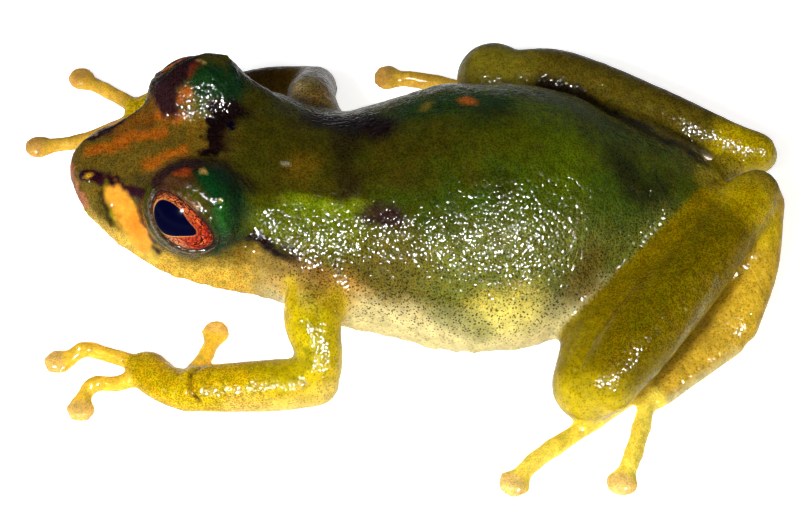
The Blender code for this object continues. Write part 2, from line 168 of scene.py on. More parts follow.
def smooth_path(rows, per_span):
    """Catmull-Rom curve through rows of any number of values, with even steps in each span."""
    rows = np.array(rows, float)
    rows = np.concatenate([[2 * rows[0] - rows[1]], rows, [2 * rows[-1] - rows[-2]]])
    curve = []
    for i in range(1, len(rows) - 2):
        p0, p1, p2, p3 = rows[i - 1:i + 3]
        for t in np.arange(per_span) / per_span:
            curve.append(0.5 * (2 * p1 + (p2 - p0) * t + (2 * p0 - 5 * p1 + 4 * p2 - p3) * t**2
                                + (3 * p1 - p0 - 3 * p2 + p3) * t**3))
    return np.array(curve + [rows[-2]])


def limb(name, rows, sides=32, per_span=8):
    """A tube through rows (x, y, z, radius across, radius up), rounded off at both ends."""
    path = smooth_path(rows, per_span)
    turns = 2 * np.pi * np.arange(sides) / sides
    bends = np.radians(CAP_ANGLES)
    dome = list(zip(np.sin(bends), np.cos(bends)))
    rings, poles = [], []
    last = len(path) - 1
    for k, row in enumerate(path):
        forward = path[min(k + 1, last), :3] - path[max(k - 1, 0), :3]
        forward /= norm(forward)
        across = np.cross(forward, (0, 0, 1))
        across /= norm(across)
        up = np.cross(across, forward)
        reach = min(row[3:5])
        steps = [(0.0, 1.0)]
        if k == 0:
            steps = [(-shift, size) for shift, size in dome] + steps
            poles.append(row[:3] - forward * reach)
        if k == last:
            steps = steps + dome[::-1]
            poles.append(row[:3] + forward * reach)
        for shift, size in steps:
            ring = np.outer(np.cos(turns) * row[3], across) + np.outer(np.sin(turns) * row[4], up)
            rings.append(row[:3] + forward * shift * reach + ring * size)
    return loft(name, rings, *poles)


def face_forms():
    forms = []
    for side in (-1, 1):
        centre = eye_frame(side)[0] + np.array([side, 1, 1]) * LID_SHIFT
        forms.append(ball("lid", centre, LID_RADII))
        for name, rows, sides in (("canthus", CANTHUS, 20), ("temple", TEMPLE, 32)):
            path = [(HEAD_X + side * x, y, z, radius, radius) for x, y, z, radius in rows]
            forms.append(limb(name, path, sides))
    return forms


# Arms and legs
# The near arm reaches forward with its hand flat, and the hind legs fold with the shank over the
# thigh and the foot beneath. Each segment is a tube through joints placed as in the solids.

UPPER_ARM = {
    "left": [(5.0, -4.0, 4.4, 1.6, 1.7), (7.6, -4.65, 4.0, 1.6, 1.6), (9.4, -4.25, 3.0, 1.2, 1.4),
             (10.1, -4.35, 2.4, 1.25, 1.3)],
    "right": [(-5.0, -4.6, 4.6, 1.6, 1.7), (-7.2, -5.0, 4.2, 1.5, 1.6), (-9.2, -4.9, 3.0, 1.3, 1.35),
              (-10.1, -4.8, 2.4, 1.25, 1.3)],
}
FOREARM = {
    "left": [(10.3, -4.5, 1.9, 1.3, 1.25), (10.35, -6.6, 1.7, 1.4, 1.35),
             (10.3, -8.8, 1.45, 1.35, 1.25), (10.15, -10.9, 1.15, 1.3, 1.1)],
    "right": [(-10.4, -4.8, 2.0, 1.3, 1.25), (-10.5, -7.2, 1.7, 1.4, 1.35),
              (-10.45, -9.3, 1.4, 1.25, 1.2), (-10.4, -11.3, 1.1, 1.15, 1.0)],
}
PALM = {
    "left": [(10.15, -11.1, 0.97, 1.25, 1.0), (9.6, -12.4, 0.82, 1.1, 0.85),
             (8.5, -13.5, 0.67, 1.2, 0.7), (8.3, -14.0, 0.57, 1.0, 0.6)],
    "right": [(-10.3, -11.6, 0.97, 1.15, 1.0), (-10.2, -12.9, 0.82, 1.25, 0.85),
              (-9.9, -14.2, 0.67, 1.2, 0.7), (-9.8, -14.9, 0.57, 0.9, 0.6)],
}
THIGH = {
    "left": [(0.4, 15.9, 3.8, 2.1, 2.0), (4.2, 14.2, 3.1, 2.2, 2.1), (8.0, 11.2, 2.75, 2.5, 1.9),
             (10.8, 9.8, 2.3, 2.05, 2.0)],
    "right": [(-2.4, 14.6, 3.8, 2.1, 2.0), (-5.6, 11.4, 3.2, 2.2, 2.1), (-8.4, 7.4, 2.8, 2.0, 2.0),
              (-10.1, 5.1, 3.1, 2.1, 2.1)],
}
SHANK = {
    "left": [(11.2, 10.6, 3.0, 1.7, 1.8), (8.6, 12.5, 3.7, 2.0, 1.9), (4.6, 15.6, 4.2, 1.8, 1.75),
             (0.4, 18.2, 4.25, 1.6, 1.5), (-1.0, 19.1, 4.1, 1.3, 1.2)],
    "right": [(-9.8, 6.0, 3.5, 1.6, 1.6), (-9.1, 8.8, 3.8, 1.85, 1.85), (-6.9, 13.4, 3.85, 1.6, 1.65),
              (-4.9, 17.9, 3.75, 1.05, 1.1), (-4.25, 19.3, 3.7, 1.05, 1.05)],
}
TARSUS = {
    "left": [(-0.8, 19.6, 3.4, 1.05, 1.05), (2.6, 18.9, 2.2, 1.3, 1.15), (5.7, 17.5, 1.1, 1.55, 1.05)],
    "right": [(-4.5, 19.5, 3.1, 1.0, 1.0), (-6.5, 17.3, 2.0, 1.05, 1.0), (-9.5, 14.2, 1.1, 1.15, 1.05)],
}
FOOT = {
    "left": [(6.2, 17.1, 0.87, 1.5, 0.9), (8.1, 14.9, 0.72, 1.45, 0.75), (9.9, 12.9, 0.57, 1.35, 0.6)],
    "right": [(-10.1, 13.5, 0.87, 1.2, 0.9), (-11.0, 10.9, 0.72, 1.3, 0.75), (-11.5, 8.4, 0.57, 1.3, 0.6)],
}
HEEL_SKIN = [(-4.4, 18.6, 3.3, 0.85, 0.85), (-3.1, 17.4, 3.3, 0.9, 0.9), (-1.8, 16.4, 3.7, 1.0, 1.0)]


# Fingers and toes
# Slim digits with small swellings at their joints, each ending in a broad flat pad that grips
# leaves. A digit is one tube, flattened and widened along the pad's outline, its sole on the floor.

FINGERS = {
    "left": [
        [(9.6, -11.2, 0.5), (9.1, -10.2, 0.45), (8.7, -9.2, 0.4)],
        [(8.6, -11.1, 0.65), (7.6, -10.45, 0.55), (5.15, -9.75, 0.4)],
        [(8.0, -13.8, 0.6), (7.5, -15.4, 0.6), (7.0, -16.8, 0.55), (7.5, -17.6, 0.45), (7.95, -18.8, 0.4)],
        [(9.0, -13.8, 0.6), (9.35, -15.1, 0.55), (9.35, -16.2, 0.55), (10.2, -16.75, 0.45),
         (11.55, -16.9, 0.4)],
    ],
    "right": [
        [(-9.6, -11.9, 0.5), (-8.9, -11.0, 0.45), (-8.4, -10.1, 0.4)],
        [(-9.3, -12.4, 0.6), (-7.8, -12.2, 0.55), (-6.8, -11.8, 0.4)],
        [(-9.5, -14.6, 0.6), (-8.5, -16.4, 0.55), (-7.75, -18.1, 0.5), (-7.45, -20.75, 0.4)],
        [(-10.2, -14.6, 0.6), (-11.2, -16.0, 0.55), (-12.0, -17.1, 0.5), (-13.0, -18.5, 0.4)],
    ],
}
TOES = {
    "left": [
        [(8.8, 12.8, 0.5), (7.7, 12.9, 0.5), (6.4, 13.0, 0.4)],
        [(9.1, 12.6, 0.5), (8.1, 11.8, 0.5), (7.2, 11.1, 0.4)],
        [(9.6, 12.3, 0.55), (8.9, 10.8, 0.5), (8.2, 9.3, 0.4)],
        [(10.1, 12.2, 0.6), (12.3, 9.5, 0.55), (14.1, 7.3, 0.55), (14.9, 6.5, 0.45), (16.3, 5.45, 0.4)],
        [(10.8, 12.9, 0.6), (12.8, 12.4, 0.55), (14.2, 12.0, 0.5), (16.35, 11.2, 0.4)],
    ],
    "right": [
        [(-10.7, 8.0, 0.5), (-9.6, 7.6, 0.5), (-8.6, 7.3, 0.4)],
        [(-11.0, 7.6, 0.5), (-10.0, 6.2, 0.5), (-9.2, 5.2, 0.4)],
        [(-11.3, 7.5, 0.55), (-10.7, 5.2, 0.5), (-10.1, 3.2, 0.4)],
        [(-11.6, 7.4, 0.6), (-11.7, 3.6, 0.55), (-12.3, 1.4, 0.5), (-12.85, -1.42, 0.4)],
        [(-12.2, 7.9, 0.6), (-13.2, 6.2, 0.55), (-13.8, 4.9, 0.4)],
    ],
}
FINGER_RADIUS, TOE_RADIUS = 0.43, 0.51
FINGER_PAD, TOE_PAD = 0.8, 0.92
PAD_LENGTH, PAD_THICK = 1.5, 0.39
PAD_OUTLINE = [(1.0, 0.56), (0.85, 0.64), (0.7, 0.82), (0.55, 0.97), (0.42, 1.03), (0.28, 0.97),
               (0.16, 0.8)]
KNUCKLES = (0.36, 0.72)
KNUCKLE_LENGTH, KNUCKLE_SWELL, SHAFT_WAIST = 0.45, 0.16, 0.93
SHAFT_STEP = 0.25


def digit(name, points, radius, pad):
    curve = smooth_path(points, 12)
    run = np.concatenate([[0.0], np.cumsum(norm(np.diff(curve, axis=0), axis=1))])
    shaft = run[-1] - PAD_LENGTH
    rows = []
    for share in np.linspace(0, 1, max(6, round(shaft / SHAFT_STEP)), endpoint=False):
        swell = sum(math.exp(-((share - knuckle) * shaft / KNUCKLE_LENGTH) ** 2) for knuckle in KNUCKLES)
        rows.append((shaft * share, radius * (SHAFT_WAIST + KNUCKLE_SWELL * swell), radius))
    rows += [(run[-1] - back * PAD_LENGTH, wide * pad, PAD_THICK) for back, wide in PAD_OUTLINE]
    joints = []
    for place, wide, tall in rows:
        x, y, z = (np.interp(place, run, curve[:, i]) for i in range(3))
        joints.append((x, y, tall if place > shaft else max(z, tall), wide, tall))
    return limb(name, joints, sides=20, per_span=2)


# Warts
# The wet skin of the head and back is set with small low warts. They are small balls scattered over
# the upper side of the trunk at a set distance, and are taken into the skin when it is wrapped.

WART_GAP = 0.46
WART_RADIUS = 0.17
WART_SIZES = (0.55, 1.15)
WART_FACING = 0.35
WART_SEED = 4
DENSITY_LIMIT = 1e7


def feed(tree, node, inputs):
    """Sets a node's inputs, each to a value or to a socket that is linked to it."""
    for name, value in dict(inputs).items():
        if isinstance(value, bpy.types.NodeSocket):
            tree.links.new(value, node.inputs[name])
        else:
            node.inputs[name].default_value = value


def add(tree, kind, inputs=(), **settings):
    """A new node with its settings and its inputs."""
    made = tree.nodes.new(kind)
    for name, value in settings.items():
        setattr(made, name, value)
    feed(tree, made, inputs)
    return made


def wart_tree():
    tree = bpy.data.node_groups.new("warts", "GeometryNodeTree")
    for name, kind in (("Geometry", "Geometry"), ("Gap", "Float"), ("Radius", "Float"),
                       ("Seed", "Int"), ("Skin", "Material")):
        tree.interface.new_socket(name, in_out="INPUT", socket_type="NodeSocket" + kind)
    tree.interface.new_socket("Geometry", in_out="OUTPUT", socket_type="NodeSocketGeometry")
    given = tree.nodes.new("NodeGroupInput").outputs
    facing = add(tree, "GeometryNodeInputNormal").outputs["Normal"]
    rise = add(tree, "ShaderNodeSeparateXYZ", {"Vector": facing}).outputs["Z"]
    upward = add(tree, "FunctionNodeCompare", {"A": rise, "B": WART_FACING}, operation="GREATER_THAN")
    scatter = add(tree, "GeometryNodeDistributePointsOnFaces", {
        "Mesh": given["Geometry"], "Selection": upward.outputs["Result"], "Distance Min": given["Gap"],
        "Density Max": DENSITY_LIMIT, "Seed": given["Seed"]}, distribute_method="POISSON")
    wart = add(tree, "GeometryNodeMeshIcoSphere", {"Radius": given["Radius"], "Subdivisions": 2})
    size = add(tree, "FunctionNodeRandomValue", {2: WART_SIZES[0], 3: WART_SIZES[1],
                                                 "Seed": given["Seed"]}, data_type="FLOAT")
    place = add(tree, "GeometryNodeInstanceOnPoints", {
        "Points": scatter.outputs["Points"], "Instance": wart.outputs["Mesh"], "Scale": size.outputs[1]})
    real = add(tree, "GeometryNodeRealizeInstances", {"Geometry": place.outputs["Instances"]})
    finish = add(tree, "GeometryNodeSetMaterial", {"Geometry": real.outputs["Geometry"],
                                                   "Material": given["Skin"]})
    add(tree, "NodeGroupOutput", {"Geometry": finish.outputs["Geometry"]})
    return tree


def evaluated(piece):
    """The piece's mesh with its modifiers applied, as a new mesh."""
    bpy.context.view_layer.update()
    seen = piece.evaluated_get(bpy.context.evaluated_depsgraph_get())
    return bpy.data.meshes.new_from_object(seen)


def warts_on(piece, tree, material):
    step = piece.modifiers.new("warts", "NODES")
    step.node_group = tree
    values = {"Gap": WART_GAP * MM, "Radius": WART_RADIUS * MM, "Seed": WART_SEED, "Skin": material}
    for item in tree.interface.items_tree:
        if item.in_out == "INPUT" and item.name in values:
            step[item.identifier] = values[item.name]
    warts = placed("warts", evaluated(piece))
    piece.modifiers.remove(step)
    return warts


# Skin
# One thin wet skin runs over the whole animal. The forms are joined and wrapped in one closed
# mesh, first the thick ones, whose joints smooth over, and then the folded limbs and the digits.

BODY_VOXEL, SKIN_VOXEL = 0.3, 0.23
BODY_ROUNDS, SKIN_ROUNDS = 5, 3
FACE_END_Y, FACE_HALF_WIDTH, FACE_LOW_Z = -9.0, 7.5, 3.6
DIGIT_REACH, DIGIT_TOP_Z = 0.95, 1.2


def wrapped(name, pieces, voxel, rounds):
    """One closed mesh around several overlapping pieces, which are used up."""
    bm = bmesh.new()
    for piece in pieces:
        bm.from_mesh(piece.data)
        bpy.data.objects.remove(piece, do_unlink=True)
    mesh = bpy.data.meshes.new(name)
    bm.to_mesh(mesh)
    bm.free()
    whole = placed(name, mesh)
    wrap = whole.modifiers.new("wrap", "REMESH")
    wrap.mode = "VOXEL"
    wrap.voxel_size = voxel * MM
    soften = whole.modifiers.new("soften", "SMOOTH")
    soften.factor = 0.5
    soften.iterations = rounds
    made = evaluated(whole)
    whole.modifiers.clear()
    whole.data = made
    return whole


def vectors(items, name):
    """One vector of each item of a mesh, as rows."""
    values = np.zeros(len(items) * 3)
    items.foreach_get(name, values)
    return values.reshape(-1, 3)


def refine(mesh, chosen):
    """Cuts each face whose centre chosen(centres) accepts into four, and rounds the result."""
    wanted = chosen(vectors(mesh.polygons, "center") / MM + MIDDLE)
    bm = bmesh.new()
    bm.from_mesh(mesh)
    bm.faces.ensure_lookup_table()
    edges = set()
    for i in np.flatnonzero(wanted):
        edges.update(bm.faces[i].edges)
    done = bmesh.ops.subdivide_edges(bm, edges=list(edges), cuts=1, use_grid_fill=True)
    corners = [e for e in done["geom_inner"] if isinstance(e, bmesh.types.BMVert)]
    bmesh.ops.smooth_vert(bm, verts=corners, factor=0.5,
                          use_axis_x=True, use_axis_y=True, use_axis_z=True)
    bm.to_mesh(mesh)
    bm.free()


skin_material = bpy.data.materials.new("wet_frog_skin")
body = trunk()
back_warts = warts_on(body, wart_tree(), skin_material)
thick = [body] + face_forms()
for hand in ("left", "right"):
    thick += [limb("upper_arm", UPPER_ARM[hand]), limb("thigh", THIGH[hand])]
body = wrapped("body", thick, BODY_VOXEL, BODY_ROUNDS)
forms = [body, back_warts, limb("heel_skin", HEEL_SKIN)]
for hand in ("left", "right"):
    for name, rows in (("forearm", FOREARM), ("palm", PALM), ("shank", SHANK), ("tarsus", TARSUS),
                       ("foot", FOOT)):
        forms.append(limb(name, rows[hand]))
    forms += [digit("finger", points, FINGER_RADIUS, FINGER_PAD) for points in FINGERS[hand]]
    forms += [digit("toe", points, TOE_RADIUS, TOE_PAD) for points in TOES[hand]]
for side in (-1, 1):
    for x, y, z, radius in LID_WARTS:
        forms.append(ball("wart", (HEAD_X + side * x, y, z), (radius,) * 3, rings=8))
skin = wrapped("skin", forms, SKIN_VOXEL, SKIN_ROUNDS)


def reach_of(path, points):
    """Distance of each point from a line of (x, y, z) places, or from one place."""
    path = np.array(path, float).reshape(-1, 3)
    best = norm(points - path[0], axis=1)
    for a, b in zip(path, path[1:]):
        t = np.clip((points - a) @ (b - a) / ((b - a) @ (b - a)), 0, 1)
        best = np.minimum(best, norm(points - a - t[:, None] * (b - a), axis=1))
    return best


def fine_parts(centres):
    """True for the face above the jaw and for the digits, which carry the finest detail."""
    aside = np.abs(centres[:, 0] - HEAD_X)
    wanted = (centres[:, 1] < FACE_END_Y) & (aside < FACE_HALF_WIDTH) & (centres[:, 2] > FACE_LOW_Z)
    for hand in ("left", "right"):
        for rows in FINGERS[hand] + TOES[hand]:
            wanted |= (reach_of(rows[1:], centres) < DIGIT_REACH) & (centres[:, 2] < DIGIT_TOP_Z)
    return wanted


refine(skin.data, fine_parts)


# Lids, lips and folds
# The lids close round each eye in a raised rim, and the mouth is a thin line under the lip. The wet
# skin folds behind the eye, creases at the joints and rises over knuckles and small tubercles. All
# of these are made by moving the points of the finished skin.

RIM_REACH = (58.0, 29.5)
RIM_SHIFT = 6.0
SOCKET_RADIUS, RIM_RADIUS = 1.95, 2.5
LID_REACH, LID_WIDTH = 3.6, 0.75
LID_GRAIN_REACH, RIM_TONE_REACH = 3.5, 3.0
LIP_DROP, LIP_HEIGHT = 0.25, 0.2
JAW_ANGLE_Y = -8.0
GRAIN_HEIGHT = 0.045
NOISE_SEED = 11

skin.data.update()
places = vectors(skin.data.vertices, "co") / MM + MIDDLE
outward = vectors(skin.data.vertices, "normal")


def ease(low, high, value):
    """0 below low, 1 above high and a smooth rise between them."""
    t = np.clip((value - low) / (high - low), 0, 1)
    return t * t * (3 - 2 * t)


def mirrored(path):
    """The same path on the animal's other side."""
    path = np.array(path, float).reshape(-1, 3)
    path[:, 0] = 2 * along(SPINE_X, path[:, 1]) - path[:, 0]
    return path


def lines_of(path, both):
    """The path alone, or with its mirror image where it is on both sides."""
    return [path, mirrored(path)] if both else [path]


def shape(path, width, height, both=False):
    """Raises the skin along a path, or sinks it where the height is negative."""
    for line in lines_of(path, both):
        near = reach_of(line, places)
        places[:] += outward * (height * np.exp(-((near / width) ** 2)))[:, None]


def eye_angles(points, side):
    """Each point's angles across an eye, along and across its opening, and its distance."""
    centre, gaze, slant, short = eye_frame(side)
    arm = points - centre
    far = norm(arm, axis=1)
    lean = np.degrees(np.arccos(np.clip(arm @ gaze / far, -1, 1)))
    flat = np.hypot(arm @ slant, arm @ short) + 1e-9
    return lean * (arm @ slant) / flat, lean * (arm @ short) / flat, far


def rim_distance(points, side):
    """Distance along the eyeball from the edge of the eye's opening, in millimetres."""
    long, short, far = eye_angles(points, side)
    turn = np.hypot(long - RIM_SHIFT, short)
    share = np.hypot((long - RIM_SHIFT) / RIM_REACH[0], short / RIM_REACH[1]) + 1e-9
    return (share - 1) * turn / share * math.radians(EYE_RADIUS), far


lip = []
for y in np.linspace(JAW_ANGLE_Y, SNOUT_Y, 12):
    lip.append((along(SPINE_X, y) + along(HALF_WIDTH, y), y, along(SIDE_Z, y) - LIP_DROP))
tip = (along(SPINE_X, SNOUT_Y), SNOUT_Y - 0.3, along(SIDE_Z, SNOUT_Y) - LIP_DROP)
mouth = lip + [tip] + [tuple(p) for p in mirrored(lip[::-1])]
upper_lip = [(x, y, z + LIP_HEIGHT) for x, y, z in mouth]
shape(upper_lip, 0.16, 0.05)
shape(mouth, 0.11, -0.14)

FOLD = [(4.0, -8.7, 7.4), (4.6, -8.0, 6.9), (4.8, -6.6, 6.7), (5.4, -5.5, 6.0), (6.0, -4.9, 5.2)]
shape(FOLD, 0.3, 0.12, both=True)
shape([(x + 0.25, y - 0.1, z - 0.45) for x, y, z in FOLD], 0.25, -0.1, both=True)
shape([(5.2, -7.7, 5.6)], 0.6, -0.08, both=True)

for side in (-1, 1):
    nostril = (HEAD_X + side * 1.2, -16.75, 7.2)
    behind = (HEAD_X + side * 1.3, -16.5, 7.2)
    shape([nostril], 0.3, 0.1)
    shape([nostril, behind], 0.09, -0.25)

SKIN_FOLDS = [
    ([(9.5, -10.4, 2.2), (10.0, -10.95, 2.2), (10.5, -11.15, 2.2), (11.0, -11.0, 2.0),
      (11.4, -10.5, 1.6)], 0.12, -0.08),
    ([(9.9, -10.3, 2.3), (10.5, -10.6, 2.3), (11.1, -10.4, 2.0)], 0.3, 0.07),
    ([(8.9, -5.9, 4.3), (9.6, -6.0, 3.4), (9.9, -6.1, 2.7)], 0.14, -0.12),
    ([(7.2, -3.2, 5.3), (7.4, -5.9, 5.2)], 0.2, -0.1),
    ([(10.9, 13.2, 3.2), (7.6, 15.2, 5.3), (4.9, 17.0, 5.6), (2.2, 18.3, 5.2)], 0.14, 0.1),
    ([(11.3, 13.6, 2.6), (8.0, 15.6, 4.7), (5.3, 17.4, 5.0), (2.6, 18.9, 4.6)], 0.14, -0.12),
    ([(6.6, 11.9, 4.9), (9.6, 9.9, 4.6), (11.4, 9.0, 4.0)], 0.16, -0.12),
    ([(-1.4, 16.9, 4.8), (0.7, 16.2, 5.6), (2.4, 13.9, 4.9), (4.1, 12.1, 4.4), (5.3, 10.8, 4.6),
      (7.1, 9.2, 3.6), (8.0, 8.5, 2.8)], 0.15, -0.22),
    ([(-10.6, 6.2, 5.2), (-9.0, 8.1, 5.4), (-7.2, 11.0, 5.3)], 0.18, -0.08),
    ([(7.1, -17.1, 0.9)], 0.32, 0.12),
    ([(9.6, -16.4, 0.9)], 0.32, 0.12),
    ([(14.5, 6.9, 0.6)], 0.4, 0.11),
    ([(14.6, 11.85, 0.6)], 0.4, 0.11),
    ([(11.9, -7.9, 1.4)], 0.22, 0.13),
    ([(11.7, -6.1, 1.6)], 0.2, 0.13),
    ([(11.6, -4.9, 1.9)], 0.2, 0.12),
]
for path, width, height in SKIN_FOLDS:
    shape(path, width, height)

for side in (-1, 1):
    edge, far = rim_distance(places, side)
    centre = eye_frame(side)[0]
    arm = (places - centre) / far[:, None]
    rim = SOCKET_RADIUS + (EYE_RADIUS + 0.1 - SOCKET_RADIUS) * ease(-0.22, 0.04, edge)
    rim += (RIM_RADIUS - EYE_RADIUS - 0.1) * ease(0.0, 0.2, edge)
    rim -= 0.07 * np.exp(-(((edge - 0.42) / 0.12) ** 2))
    keep = ease(0.3, LID_WIDTH, edge)
    target = rim * (1 - keep) + np.maximum(far, RIM_RADIUS - 0.05) * keep
    near_eye = (far < LID_REACH) & (edge < LID_WIDTH)
    places[near_eye] = (centre + arm * target[:, None])[near_eye]

noise.seed_set(NOISE_SEED)
grain = np.array([noise.noise(Vector(p) * 2.3) + 0.5 * noise.noise(Vector(p) * 5.1) for p in places])
bumpy = ease(4.0, 7.0, places[:, 2]) * (1 - ease(12.0, 15.0, np.abs(places[:, 0])))
places += outward * (GRAIN_HEIGHT * grain * (0.35 + 0.65 * bumpy))[:, None]
places[:, 2] = np.maximum(places[:, 2], 0.0)
skin.data.vertices.foreach_set("co", ((places - MIDDLE) * MM).ravel())
skin.data.update()


# Skin colours
# The wet skin is olive and green above, and shades through a dotted grey-green flank to a cream
# belly, with yellow limbs. Brown blotches, rust streaks and pale spots lie over it, all painted on
# the skin's own points, with colours on the 0 to 255 scale.

DORSAL = (66, 57, 9)
GREEN = (46, 76, 6)
DEEP_GREEN = (14, 34, 10)
REAR_GREEN = (84, 98, 8)
LEAF = (122, 144, 8)
TEAL = (6, 62, 26)
FLANK = (108, 116, 40)
SHOULDER_BROWN = (96, 78, 26)
CREAM = (202, 188, 128)
LEMON = (226, 212, 92)
UMBER = (24, 12, 12)
PLUM = (42, 12, 28)
RUST = (196, 102, 12)
APRICOT = (228, 158, 48)
JAW_YELLOW = (212, 178, 66)
LIMB_OLIVE = (126, 109, 2)
LIMB_GOLD = (208, 180, 10)
TARSUS_GOLD = (206, 168, 40)
FOOT_GOLD = (206, 168, 48)
# Painted shade: the far arm and leg take darker copies of the near limbs' colours
SHADED_FAR_ARM = (92, 70, 16)
SHADED_FAR_LEG = (94, 84, 18)
FINGER_YELLOW = (246, 202, 60)
FINGER_CREAM = (232, 190, 106)
TOE_YELLOW = (252, 226, 84)
TOE_CREAM = (242, 204, 124)
# Painted shade: the far fingers, toes and pads take darker copies of the near digits' colours
SHADED_FAR_DIGIT = (206, 166, 56)
SHADED_FAR_PAD = (202, 156, 78)
# Painted shade for the wrist crease
CREASE_SHADE = (70, 34, 14)
RIM_BROWN = (46, 24, 20)
RIM_GREY = (150, 128, 120)
CREAM_TOP = [(-17.5, 5.9), (-15, 5.6), (-12, 5.2), (-9, 5.3), (-7, 5.9), (-5, 5.4), (-2, 4.7),
             (3, 4.9), (6, 5.2), (9, 4.6), (12, 4.0), (17, 3.6)]
FLANK_TOP = [(-17.5, 6.6), (-13, 6.6), (-9, 6.6), (-7, 6.6), (-4, 7.0), (1, 8.0), (5, 8.7),
             (9, 7.8), (13, 6.2), (17, 5.0)]

count = len(places)
drift = np.array([noise.noise_vector(Vector(p) * 0.8) for p in places])
ripple = np.array([noise.noise_vector(Vector(p) * 2.6) for p in places])
marks = places + 0.35 * drift + 0.2 * ripple


def tone(colour):
    """A colour given on the usual 0 to 255 scale, as the light that it gives back."""
    levels = np.array(colour) / 255
    return np.where(levels < 0.04045, levels / 12.92, ((levels + 0.055) / 1.055) ** 2.4)


tint = np.tile(tone(DORSAL), (count, 1))
dots = np.zeros(count)
speckle = np.full(count, 0.85)
granules = np.full(count, 0.5)


def wash(colour, mask):
    """Lays a colour over the skin as strongly as the mask says."""
    tint[:] += (tone(colour) - tint) * np.clip(mask, 0, 1)[:, None]


def paint(rows):
    """Lays ragged patches and streaks, each of one colour along its own path."""
    for colour, width, strength, soft, path, *both in rows:
        for line in lines_of(path, both):
            share = reach_of(line, marks) / width
            wash(colour, strength * (1 - ease(1 - soft, 1 + soft, share)))


height, length = marks[:, 2], marks[:, 1]
aside = (marks[:, 0] - along(SPINE_X, length)) / along(HALF_WIDTH, length)
cream_top, flank_top = along(CREAM_TOP, length), along(FLANK_TOP, length)
on_flank = 1 - ease(flank_top - 0.9, flank_top + 1.1, height)
on_belly = 1 - ease(cream_top - 0.6, cream_top + 0.9, height)
behind_head = ease(-8.5, -6.0, length)
rear = ease(0.0, 9.0, length)

cloud = 0.75 + 0.6 * drift[:, 0]
wash(GREEN, cloud * (0.25 + 0.5 * rear + 0.6 * ease(0.1, 0.55, np.abs(aside)) * ease(-4, 2, length)))
wash(REAR_GREEN, 0.4 * rear)
# Painted shade: the far side of the rear back is darkened towards deep green, on the side away from the
# light
wash(DEEP_GREEN, 0.8 * ease(0.3, 0.65, -aside) * ease(4, 8, length) * (1 - on_flank))
wash(FLANK, on_flank * behind_head)
wash(SHOULDER_BROWN, 0.7 * on_flank * behind_head * (1 - ease(-1.0, 3.5, length)))
wash(JAW_YELLOW, on_belly * (1 - behind_head))
wash(CREAM, on_belly * behind_head)
dots = np.maximum(dots, on_flank * behind_head * (0.2 + 0.8 * ease(1.8, 4.6, height)))
speckle += (0.15 - speckle) * on_belly * behind_head
granules += (0.15 - granules) * on_belly * (1 - ease(3.0, 4.6, height))
granules = np.maximum(granules, ease(4.0, 5.5, height))
granules *= 1 + 0.4 * ease(0.0, 5.0, length) * (1 - ease(flank_top + 0.5, flank_top + 2.5, height))

# Rows of marks: colour, half width, strength, softness of the edge, path, and BOTH on both sides
BOTH = True
FACE_MARKS = [
    ((108, 90, 28), 3.2, 0.85, 0.3, [(-0.8, -16.5, 7.4), (-0.8, -12.0, 8.6)]),
    ((122, 70, 16), 0.8, 0.8, 0.8, [(-2.4, -14.8, 7.4), (-2.9, -13.2, 8.0), (-3.2, -12.4, 8.8)]),
    (RUST, 0.42, 0.7, 0.8,
     [(-0.9, -16.4, 7.4), (-1.3, -15.1, 7.7), (-1.3, -13.9, 8.1), (-1.4, -12.8, 8.4)]),
    (RUST, 0.4, 0.65, 0.8, [(0.6, -13.3, 8.2), (0.3, -12.3, 8.4), (0.1, -11.5, 8.6)]),
    (RUST, 0.4, 0.55, 0.8, [(-2.7, -12.8, 8.2), (-2.2, -11.9, 8.8)]),
    ((190, 96, 20), 0.3, 0.8, 0.8, [(-2.8, -11.6, 9.7), (-2.9, -11.3, 9.9)]),
    ((120, 94, 22), 0.5, 0.75, 0.5, [(-2.1, -11.0, 8.7), (-0.9, -10.9, 8.8), (-0.2, -10.7, 8.7)]),
    ((168, 104, 72), 0.4, 0.8, 0.3, [(-0.8, -17.6, 6.5), (0.6, -17.2, 6.3), (1.3, -16.7, 6.0)], BOTH),
    (PLUM, 0.45, 1.0, 0.3,
     [(0.6, -16.7, 7.3), (1.3, -15.6, 7.5), (2.0, -14.5, 7.8), (3.1, -13.5, 8.4)], BOTH),
    (PLUM, 0.3, 0.95, 0.3,
     [(3.2, -13.5, 7.6), (3.9, -13.4, 6.7), (4.2, -13.1, 6.0), (4.6, -12.6, 5.5)], BOTH),
    ((40, 32, 14), 0.24, 0.85, 0.6, [(1.8, -15.9, 6.9), (2.2, -15.6, 6.5), (2.7, -15.3, 5.9)], BOTH),
    ((130, 126, 10), 0.3, 0.8, 0.6, [(1.5, -15.4, 7.1), (2.0, -15.2, 6.7), (2.6, -14.9, 6.1)], BOTH),
    (APRICOT, 0.7, 1.0, 0.3,
     [(2.0, -15.0, 7.1), (2.5, -14.6, 6.8), (3.2, -14.1, 6.3), (3.9, -13.7, 5.7)], BOTH),
    ((230, 128, 30), 0.45, 0.8, 0.9, [(3.1, -14.1, 6.7), (3.6, -13.9, 6.2)], BOTH),
    ((226, 176, 30), 0.14, 1.0, 0.9, [(0.75, -16.55, 7.3)], BOTH),
]
